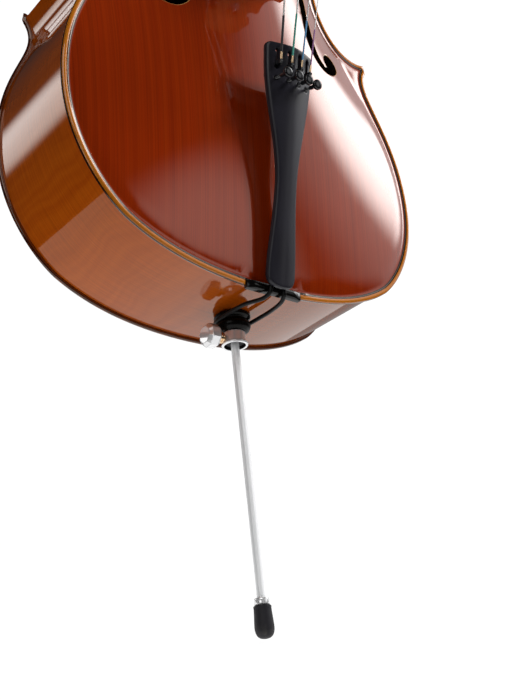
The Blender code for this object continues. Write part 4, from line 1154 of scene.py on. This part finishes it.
def bridge_outline(foot):
    """The bridge's outline as a loop of (x, height). foot gives the sole's height at x."""
    half_foot, foot_in = BRIDGE_WIDTH / 2, 0.017
    crown = [(x, bridge_crown(x)) for x in np.linspace(0, 0.0265, 12)]
    arm = [(0.0265, 0.0810), (0.0300, 0.0700), (0.0335, 0.0625), (0.0320, 0.0560), (0.0255, 0.0545)]
    waist = [(0.0225, 0.0500), (0.0225, 0.0450), (0.0265, 0.0415), (0.0325, 0.0400), (0.0348, 0.0350)]
    leg = [(0.0325, 0.0270), (0.0322, 0.0160), (0.0360, 0.0082), (0.0420, 0.0052), (half_foot, 0.0036)]
    side = smooth_path([*arm, *waist, *leg], 60)[1:]
    sole = [(x, foot(x)) for x in np.linspace(half_foot, foot_in, 10)]
    between = [(foot_in, foot(foot_in) + 0.003), (0.0168, 0.0095), (0.0140, 0.0165), (0.0075, 0.0215)]
    right = np.vstack([crown, side, sole, smooth_path([*between, (0, 0.0230)], 24)])
    return both_sides(right)


def bridge_heart():
    half = [(0, 0.0360), (0.0045, 0.0400), (0.0090, 0.0465), (0.0088, 0.0530), (0.0045, 0.0560), (0, 0.0505)]
    half = smooth_path(half, 24)
    return both_sides(half)


def make_bridge():
    peak = -front_y(0, BRIDGE_Z)

    def foot(x):
        return -front_y(x, BRIDGE_Z) - peak + 0.0008

    def lift(points, side):
        x, h = points[:, 0], points[:, 1]
        thick = BRIDGE_FOOT - (BRIDGE_FOOT - BRIDGE_TOP) * np.clip(h / BRIDGE_HEIGHT, 0, 1) ** 0.8
        z = BRIDGE_Z - BRIDGE_BACK + thick * (1 - side)
        return np.column_stack([x, -(peak + h), z + BODY_BASE])

    loops = [bridge_outline(foot), bridge_heart()]
    bridge = shell_piece("carved_bridge", loops, np.vstack(loops), lift, {}, 35)
    bevelled(bridge, 0.0006, 2, 40)
    place_piece(bridge, LOOK["bridge"], "body", ["bridge"])


def bridge_notch(string):
    """Where the string crosses the bridge: its middle, just clear of the wood."""
    x = STRINGS[string] * BRIDGE_SPREAD / 3
    over = STRING_RADIUS[string] + 3 * GAP
    middle = BRIDGE_Z - BRIDGE_BACK + BRIDGE_TOP / 2
    return Vector((x, front_y(0, BRIDGE_Z) - bridge_crown(x) - over, middle + BODY_BASE))


# The tailpiece's own frame: t runs down from its upper end, n stands out of its underside

TAIL_TOP = Vector((0, -(RIB_HEIGHT / 2 + EDGE + TAIL_TOP_RISE), TAIL_TOP_Z + BODY_BASE))
TAIL_SLOPE = math.asin((TAIL_TOP_RISE - TAIL_LOW_RISE) / TAIL_LENGTH)
TAIL_DOWN = Vector((0, math.sin(TAIL_SLOPE), -math.cos(TAIL_SLOPE)))
TAIL_OUT = Vector((0, -math.cos(TAIL_SLOPE), -math.sin(TAIL_SLOPE)))
TAIL_ROUND = 0.0022


def tail_point(x, t, n):
    return TAIL_TOP + Vector((x, 0, 0)) + TAIL_DOWN * t + TAIL_OUT * n


def tail_crown(x):
    """Height of the tailpiece's outer face over the plane of its edges."""
    return -(x**2) * 5.5


def slot_x(string):
    return STRINGS[string] * SLOT_PITCH


def long_hole(x, low, high, half):
    """A slot with round ends as a loop of (x, t)."""
    bend = np.linspace(0, math.pi, 9)
    top = [(x - half * math.cos(k), low - half * math.sin(k)) for k in bend]
    foot = [(x + half * math.cos(k), high + half * math.sin(k)) for k in bend]
    return np.array([*top, *foot])


def tail_outline():
    """The tailpiece's outline as a loop of (x, t)."""
    brow = [(x, 0) for x in np.linspace(0, 0.0215, 9)[:-1]]
    widths = bezier((0.0215, 0), (0.030, -0.001), (0.030, 0.004), (0.0292, 0.012), 14)
    neck = bezier((0.0292, 0.012), (0.0285, 0.060), (0.0135, 0.095), (0.0122, 0.140), 40)
    foot = bezier((0.0122, 0.140), (0.0122, 0.180), (0.0165, 0.205), (0.0165, 0.226), 26)
    end = bezier((0.0165, 0.230), (0.0165, 0.238), (0.012, TAIL_LENGTH), (0, TAIL_LENGTH), 16)
    right = np.vstack([brow, widths, neck, foot, end, [(0, TAIL_LENGTH)]])
    return both_sides(right)


def make_tailpiece():
    loop = tail_outline()
    holes = [long_hole(slot_x(string), SLOT_LOW + 0.002, SLOT_HIGH - 0.002, 0.0022) for string in STRINGS]
    holes += [long_hole(slot_x(string), SCREW_T, SCREW_T + 0.0001, 0.0023) for string in STRINGS]

    def lift(points, side):
        x = points[:, 0]
        depth = distance(points, loop)
        cut = np.min([distance(points, hole) for hole in holes], axis=0)
        crown = tail_crown(x) - 0.0006 * np.sqrt((x / 0.004) ** 2 + 1) + 0.0006
        soft = 0.0005 * (1 - smoothstep(cut / 0.0006))
        face = crown - TAIL_ROUND + round_edge(depth, TAIL_ROUND) - soft
        under = crown - TAIL_THICKNESS + 0.0012 - round_edge(depth, 0.0012)
        return np.array([tail_point(px, t, n) for (px, t), n in zip(points, under if side else face)])

    points = filled_points([loop, *holes], 0.0035, 0.0052, (0.0002, 0.0007, 0.0014, 0.0022, 0.0036))
    piece = shell_piece("moulded_tailpiece", [loop, *holes], points, lift, {}, 50)
    place_piece(piece, LOOK["composite"], "body", ["tailpiece"])


def make_tuner_housing():
    """The tray under the tuners."""
    across = np.linspace(-0.0235, 0.0235, 15)
    sections = []
    for t in np.linspace(0.003, 0.033, 6):
        roof = [tail_point(x, t, tail_crown(x) - 0.0145) for x in across]
        sections.append([*roof, *[tail_point(x, t, tail_crown(x) - 0.0157) for x in across[::-1]]])
    tray = bevelled(loft("tuner_housing", sections, 35), 0.0004)
    place_piece(tray, LOOK["composite"], "body", [])


def tuner_heights(string):
    """The heights n of the tailpiece's face and underside at the string's tuner."""
    x = slot_x(string)
    return float(tail_crown(x)), float(tail_crown(abs(x) + 0.0022)) - TAIL_THICKNESS


def make_tuner_lever(string):
    crest, under = tuner_heights(string)
    front, back, end = LEVER_T - 0.0016, LEVER_T + 0.0020, SCREW_T + 0.003
    horn = [(front, crest + 0.0030), (LEVER_T - 0.0010, crest + 0.0045), (LEVER_T + 0.0010, crest + 0.0045)]
    horn += [(back, crest + 0.0030), (back, under - 0.0004)]
    arm = [(SCREW_T - 0.004, under - 0.0020), (end, under - 0.0030), (end, under - 0.0055)]
    heel = [(back, under - 0.0055), (LEVER_T - 0.0010, under - 0.0045), (front, under - 0.0030)]
    side, half = [*horn, *arm, *heel], 0.0016
    sections = [[tail_point(slot_x(string) + dx, t, n) for t, n in side] for dx in (-half, half)]
    lever = bevelled(loft(f"tuner_arm_{string}", sections), 0.0005)
    place_piece(lever, LOOK["tuner"], f"tuner_{string}_lever", [f"tuner_lever_{string}"])


def make_tuner_screw(string):
    across = Vector((1, 0, 0))
    place = axes_at(tail_point(slot_x(string), SCREW_T, 0), across, TAIL_OUT.cross(across), TAIL_OUT)
    crest, under = tuner_heights(string)
    tip, low = under - 0.0020, crest + 0.0125
    threads = np.arange(tip + 0.001, crest + 0.004, 0.0004)
    stem = [(0, tip), (0.0011, tip), (0.0015, tip + 0.0006)]
    stem += [(0.0015 if k % 2 else 0.00125, z) for k, z in enumerate(threads)]
    stem += [(0.0015, crest + 0.0042), (0.0021, crest + 0.0046)]
    knob = [(0.0020, -0.0010), (0.0028, -0.0002), (0.0046, 0.0), (0.0050, 0.0006), (0.0051, 0.0018)]
    knob += [(0.0050, 0.0030), (0.0045, 0.0037), (0.0030, 0.0041), (0, 0.0042)]
    screw = turned(f"tuner_knob_{string}", [*stem, *raised(low, knob)], 32, place, 40)
    place_piece(screw, LOOK["tuner"], f"tuner_{string}_screw", [f"tuner_screw_{string}"])


def make_saddle():
    front = -(RIB_HEIGHT / 2 + EDGE)
    back = -(RIB_HEIGHT / 2 - GAP) - 2 * GAP
    low, high = -0.0014, SADDLE_DEPTH - GAP
    brow = [(0.30, high), (0.65, high - 0.0004), (0.92, high - 0.0014), (1.0, 0.0034), (0.92, 0.0016)]
    brow += [(0.55, low + 0.0010), (0.20, low + 0.0002)]
    sections = []
    for x in np.linspace(-SADDLE_HALF, SADDLE_HALF, 41):
        rise = 0.0008 + (SADDLE_RISE - 0.0008) * float(smoothstep((SADDLE_HALF - abs(x)) / 0.009))
        side = [(back, low), (back, high), *[(front - rise * share, z) for share, z in brow]]
        sections.append([(x, y, z + BODY_BASE) for y, z in [*side, (front + 0.0004, low)]])
    saddle = loft("ebony_saddle", sections, 60)
    place_piece(saddle, LOOK["saddle"], "body", ["saddle"])


SILK_COLOUR = {
    "c": (0.010, 0.004, 0.006),
    "g": (0.06, 0.42, 0.32),
    "d": (0.09, 0.32, 0.60),
    "a": (0.36, 0.14, 0.36),
}
STRING_LOOK = {
    "c": wound_metal("tungsten_string", (0.62, 0.60, 0.57), 0.0007),
    "g": wound_metal("silver_string", (0.70, 0.70, 0.68), 0.0006),
    "d": wound_metal("steel_string", (0.74, 0.74, 0.74), 0.0005),
    "a": wound_metal("bright_string", (0.78, 0.78, 0.78), 0.0005),
}
SILK_LENGTH = {"c": 0.044, "g": 0.050, "d": 0.048, "a": 0.045}
BALL_LENGTH = 0.007


def string_route(string):
    """The string's points: its end at the tuner, the bridge, the nut and its peg."""
    start = tail_point(slot_x(string), LEVER_T - 0.0018 - GAP, float(tail_crown(slot_x(string))) + 0.0028)
    radius = STRING_RADIUS[string]
    nut_x = STRINGS[string] * NUT_SPREAD / 3
    nut = neck_point(nut_x, -0.0024, board_crown(nut_x, 0) + NUT_RISE + radius + 1.5 * GAP)
    local = string_place_on_peg(string)
    end = peg_frame(string) @ Vector((peg_radius(local) + 3 * radius + 4 * GAP, 0, local))
    return [start, bridge_notch(string), nut, end]


def make_string(string):
    """The string, with its silk wrap and ball end at the tuner."""
    route, radius = string_route(string), STRING_RADIUS[string]
    start = route[0]
    reach = (route[1] - start).normalized()
    made = tube(f"playing_string_{string}", route, radius, 4)
    place_piece(made, STRING_LOOK[string], "body", [f"string_{string}"])
    silk_ends = [start + reach * BALL_LENGTH, start + reach * SILK_LENGTH[string]]
    wrap = tube(f"silk_{string}", silk_ends, radius + 0.00025, 4)
    place_piece(wrap, silk(f"silk_{string}", SILK_COLOUR[string]), "body", [])
    ball = tube(f"string_end_{string}", [start, start + reach * BALL_LENGTH], radius + 0.0004, 4)
    place_piece(ball, LOOK["brass"], "body", [])


def make_tail_cord():
    """The cord runs from the tailpiece over the saddle, round the button's groove and back."""
    radius = 0.0021
    crest = -(RIB_HEIGHT / 2 + EDGE + SADDLE_RISE) - radius - 0.0006
    under = -TAIL_THICKNESS - radius - 0.0012
    start = tail_point(0.0075, TAIL_LENGTH - 0.022, under)
    leave = tail_point(0.0075, TAIL_LENGTH - 0.008, under)
    groove = BODY_BASE + OVERHANG - GAP - 0.0068
    bend = radius + 0.0146
    half = [
        start,
        leave,
        Vector((0.0078, crest, BODY_BASE + 0.0035)),
        Vector((0.0085, crest + 0.0022, BODY_BASE - 0.0030)),
        Vector((0.0110, crest + 0.0110, BODY_BASE - 0.0062)),
        Vector((bend, -0.036, groove - 0.0006)),
        Vector((bend, -0.006, groove)),
    ]
    turn = np.linspace(0.35, math.pi - 0.35, 6)
    around = [Vector((bend * math.cos(a), bend * math.sin(a), groove)) for a in turn]
    route = [*half, *around, *[Vector((-p.x, p.y, p.z)) for p in half[::-1]]]
    cord = tube("tail_cord_line", smooth_path(route, 160), radius, 5)
    place_piece(cord, LOOK["cord"], "body", ["tail_cord"])


# The endpin


ENDPIN_PLACE = Matrix.Translation((0, 0, BODY_BASE))


def make_button():
    """The end button, with the groove that holds the tail cord."""
    shank, foot = BUTTON_BORE - GAP, COLLAR_HIGH + GAP
    bulge = [(shank, 0), (0.0160, 0), (0.0174, -0.0004), (0.0180, -0.0015), (0.0181, -0.0030)]
    bulge += [(0.0172, -0.0042), (0.0146, -0.0052), (0.0139, -0.0062), (0.0139, -0.0074), (0.0148, -0.0086)]
    bulge += [(0.0168, -0.0095), (0.0174, -0.0105), (0.0172, -0.0130), (0.0158, -0.0160), (0.0136, -0.0180)]
    bulge = raised(OVERHANG - GAP, bulge)
    button = [(ROD_BORE, 0.033), (shank - 0.0010, 0.033), *bulge, (0.0128, foot), (ROD_BORE, foot)]
    made = turned("turned_end_button", button, 64, ENDPIN_PLACE, 50)
    place_piece(made, LOOK["ebony"], "body", ["end_button"])


def make_collar():
    """The chrome collar, its mouth painted near-black as shade, and the dark bush in its mouth, which deepens
    that shade.
    """
    high = COLLAR_HIGH - COLLAR_LOW
    collar = [(ROD_BORE, high), (0.0109, high), (0.0113, high - 0.0003), (0.0114, high - 0.0009)]
    collar += [(0.0114, 0.0040), (0.0117, 0.0034), (0.0126, 0.0026), (0.0131, 0.0021), (0.0132, 0.0015)]
    collar += [(0.0130, 0.0007), (0.0124, 0.0001), (0.0116, 0), (0.0108, 0.0002), (0.0103, 0.0009)]
    collar += [(0.0101, 0.0045), (ROD_BORE + 0.0012, 0.0050), (ROD_BORE, 0.0048)]
    made = turned("chrome_collar", raised(COLLAR_LOW, collar), 64, ENDPIN_PLACE, 35)
    place_piece(made, LOOK["collar"], "body", ["clamp_collar"])
    hole = ROD_BORE + 0.0001
    # A rubber bush, which also puts dark where the mouth's shade falls.
    shade_bush = [(hole, 0.0034), (hole + 0.0005, 0.0028), (0.0090, 0.0030), (0.0099, 0.0036), (0.0099, 0.0044)]
    made = turned("collar_shade_bush", raised(COLLAR_LOW, [*shade_bush, (hole, 0.0044)]), 48, ENDPIN_PLACE, 35)
    place_piece(made, LOOK["rubber"], "body", [])


def make_clamp_screw():
    """The clamp screw's eight-sided knob and its brass stem."""
    out = Vector((math.cos(CLAMP_ANGLE), math.sin(CLAMP_ANGLE), 0))
    up = Vector((0, 0, 1))
    middle = Vector((0, 0, BODY_BASE + (COLLAR_LOW + COLLAR_HIGH) / 2))
    clamp = axes_at(middle, up.cross(out), up, out)
    knob = [(0, 0.0190), (0.0070, 0.0190), (0.0092, 0.0204), (0.0120, 0.0230), (0.0122, 0.0236)]
    knob += [(0.0122, 0.0308), (0.0120, 0.0314), (0.0092, 0.0343), (0.0086, 0.0346), (0, 0.0347)]
    made = turned("chrome_knob", knob, 8, clamp @ Matrix.Rotation(math.pi / 8, 4, "Z"), 10)
    bevelled(made, 0.0004, 3, 12)
    place_piece(made, LOOK["chrome"], "clamp", ["clamp_screw"])
    stem = [(0, 0.0044), (0.0022, 0.0044), (0.0025, 0.0050), (0.0025, 0.0138), (0.0040, 0.0140)]
    stem += [(0.0056, 0.0146), (0.0056, 0.0160), (0.0048, 0.0166), (0.0058, 0.0172), (0.0058, 0.0186)]
    made = turned("brass_stem", [*stem, (0, 0.0192)], 40, clamp, 35)
    place_piece(made, LOOK["brass"], "clamp", [])


def make_rod():
    shaft = [(ROD_RADIUS, z) for z in np.linspace(ROD_LOW + 0.002, ROD_HIGH - 0.002, 30)]
    rod = [(0, ROD_LOW), (ROD_RADIUS - 0.0006, ROD_LOW), (ROD_RADIUS, ROD_LOW + 0.001), *shaft]
    rod += [(ROD_RADIUS, ROD_HIGH - 0.001), (ROD_RADIUS - 0.001, ROD_HIGH), (0, ROD_HIGH)]
    made = turned("polished_rod", rod, 48, ENDPIN_PLACE, 35)
    place_piece(made, LOOK["steel"], "endpin", ["endpin_rod"])


def make_tip():
    """The ferrule and the rubber tip at the rod's lower end."""
    hold = ROD_RADIUS + GAP
    ferrule = [(hold, 0.0005), (0.0064, 0.0005), (0.0069, 0.0009), (0.0071, 0.0017), (0.0071, 0.0050)]
    ferrule += [(0.0069, 0.0058), (0.0064, 0.0063), (hold, 0.0064)]
    made = turned("chrome_ferrule", raised(TIP_HIGH, ferrule), 48, ENDPIN_PLACE, 35)
    place_piece(made, LOOK["chrome"], "endpin", ["tip_ferrule"])
    cup = [(0, GAP / 2), (0.0066, GAP / 2), (0.0074, 0), (0.0079, -0.0004), (0.0081, -0.0011)]
    cup += [(0.0080, -0.0017), (0.0079, -0.0022), (0.0080, -0.0050)]
    foot = [(0.0083, -0.2870), (0.0088, -0.2950), (0.0085, -0.2995), (0.0070, -0.3032), (0.0046, -0.3052)]
    foot = smooth_path([*foot, (0.0022, -0.3059)], 30)
    profile = [*raised(TIP_HIGH, cup), *foot, (0, -BODY_BASE)]
    made = turned("rubber_foot", profile, 64, ENDPIN_PLACE, 45)
    place_piece(made, LOOK["rubber"], "endpin", ["rubber_tip"])


def finish_inner_wood():
    """The pieces inside the body stay as the CAD made them, with the grain of bare wood."""
    for name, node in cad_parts.items():
        if node.hide_render:
            continue
        wood = LOOK["spruce"] if name in ("bass_bar", "sound_post") else LOOK["willow"]
        node.data.materials.clear()
        node.data.materials.append(wood)


# The stage

CAMERA_PLACE = Vector((-0.6138, -0.7268, -0.1323))
CAMERA_FORWARD = Vector((0.61319, 0.68713, 0.38968)).normalized()
CAMERA_UP = Vector((-0.17210, -0.36525, 0.91486))
CAMERA_LENS = 55.09
FLOOR_NORMAL = Vector((-0.21, -0.45, 0.868)).normalized()
FLOOR_RADIUS = 0.80


def make_camera():
    camera = bpy.data.objects.new("camera", bpy.data.cameras.new("camera"))
    bpy.context.scene.collection.objects.link(camera)
    back = -CAMERA_FORWARD
    right = CAMERA_UP.cross(back).normalized()
    camera.matrix_world = axes_at(CAMERA_PLACE, right, back.cross(right), back)
    camera.data.lens = CAMERA_LENS
    camera.data.clip_start = 0.01
    bpy.context.scene.camera = camera


def make_floor():
    """A white studio floor, square to the true vertical of a leaning cello, and seen from above only."""
    mesh = bpy.data.meshes.new("floor")
    shape = bmesh.new()
    bmesh.ops.create_circle(shape, cap_ends=True, radius=FLOOR_RADIUS, segments=96)
    shape.to_mesh(mesh)
    shape.free()
    floor = bpy.data.objects.new("floor", mesh)
    bpy.context.scene.collection.objects.link(floor)
    floor.rotation_mode = "QUATERNION"
    floor.rotation_quaternion = FLOOR_NORMAL.to_track_quat("Z", "Y")
    floor.location = -FLOOR_NORMAL * 0.0052
    look = Look("studio_floor", (0.9, 0.9, 0.9), 1.0, specular=0.0)
    speck = look.noise(look.stretched(40, 40, 40), 3.0)
    look.link("Base Color", look.ramp(speck, (0.3, (0.120, 0.120, 0.120)), (0.7, (0.130, 0.130, 0.130))))
    look.set("Emission Color", (1, 1, 1, 1))
    look.set("Emission Strength", 0.965)
    behind = look.node("ShaderNodeNewGeometry").outputs["Backfacing"]
    clear = look.node("ShaderNodeBsdfTransparent").outputs[0]
    both = look.node("ShaderNodeMixShader")
    look.feed(both.inputs[0], behind)
    look.feed(both.inputs[1], look.shader.outputs[0])
    look.feed(both.inputs[2], clear)
    look.feed(look.tree.nodes["Material Output"].inputs["Surface"], both.outputs[0])
    floor.data.materials.append(look.material)


def softbox(name, direction, reach, size, radiance, aim, mirrored_too=True):
    """A rectangular light that faces the cello. radiance is its brightness as a camera would see it."""
    light = bpy.data.lights.new(name, "AREA")
    light.shape = "RECTANGLE"
    light.size, light.size_y = size
    light.energy = radiance * size[0] * size[1] * math.pi
    made = bpy.data.objects.new(name, light)
    bpy.context.scene.collection.objects.link(made)
    target = Vector(aim)
    made.location = target + Vector(direction).normalized() * reach
    made.rotation_mode = "QUATERNION"
    made.rotation_quaternion = (made.location - target).to_track_quat("Z", "Y")
    made.visible_camera = False
    made.visible_glossy = mirrored_too
    return made


def make_lights():
    softbox("left_key", (-0.62, -0.66, 0.42), 1.7, (1.2, 1.2), 1.9, (-0.05, -0.05, 0.60))
    softbox("low_fill", (-0.75, -0.45, -0.10), 1.9, (1.0, 0.6), 1.6, (-0.05, 0, 0.40))
    softbox("front_key", (0.50, -0.72, 0.48), 1.8, (0.5, 0.5), 36.0, (0, -0.07, 0.50), mirrored_too=False)
    softbox("under_fill", (0.45, 0.71, -0.48), 0.30, (0.16, 0.16), 0.35, (-0.03, 0, 0.31), mirrored_too=False)


# Soft glows round the studio: the direction towards each, its brightness, and the cosines of the angles from
# that direction at which it begins and at which it is full
GLOWS = (
    ((0.77, -0.30, 0.565), 5.0, 0.966, 1.000),
    ((0.775, -0.30, 0.56), 0.7, 0.840, 0.970),
    ((0.48, -0.85, 0.20), 1.0, 0.965, 0.998),
    ((-0.50, 0.69, 0.52), 2.6, 0.970, 0.998),
    ((0.70, 0.45, 0.10), 0.3, 0.700, 0.950),
)
ROOM = 0.02
BACKDROP = 1.05


def make_world():
    """White behind the cello for the camera, and soft glows in a dim room for light and reflections."""
    world = bpy.data.worlds.new("studio")
    bpy.context.scene.world = world
    world.use_nodes = True
    nodes = Nodes(world.node_tree)
    nodes.tree.nodes.clear()
    toward = nodes.node("ShaderNodeTexCoord").outputs["Generated"]
    light = ROOM
    for direction, brightness, begin, full in GLOWS:
        angle = nodes.node("ShaderNodeVectorMath", operation="DOT_PRODUCT")
        nodes.feed(angle.inputs[0], toward)
        nodes.feed(angle.inputs[1], Vector(direction).normalized())
        glow = nodes.range(angle.outputs["Value"], begin, full, 0.0, brightness, "SMOOTHERSTEP")
        light = nodes.math("ADD", glow, light)
    both = nodes.node("ShaderNodeMixShader")
    nodes.feed(both.inputs[0], nodes.node("ShaderNodeLightPath").outputs["Is Camera Ray"])
    for socket, strength in zip(both.inputs[1:], (light, BACKDROP)):
        background = nodes.node("ShaderNodeBackground")
        nodes.feed(background.inputs[0], (1, 1, 1))
        nodes.feed(background.inputs[1], strength)
        nodes.feed(socket, background.outputs[0])
    nodes.feed(nodes.node("ShaderNodeOutputWorld").inputs[0], both.outputs[0])


make_top()
make_back()
make_ribs()
make_neck()
make_pegbox()
make_throat()
make_scroll()
make_scroll_eye()
for string_name in STRINGS:
    make_peg(string_name)
    make_winding(string_name)
make_fingerboard()
make_nut()
make_bridge()
make_tailpiece()
make_tuner_housing()
for string_name in STRINGS:
    make_tuner_lever(string_name)
    make_tuner_screw(string_name)
make_saddle()
for string_name in STRINGS:
    make_string(string_name)
make_tail_cord()
make_button()
make_collar()
make_clamp_screw()
make_rod()
make_tip()
finish_inner_wood()
make_camera()
make_floor()
make_lights()
make_world()
bpy.context.scene.view_settings.view_transform = "Standard"
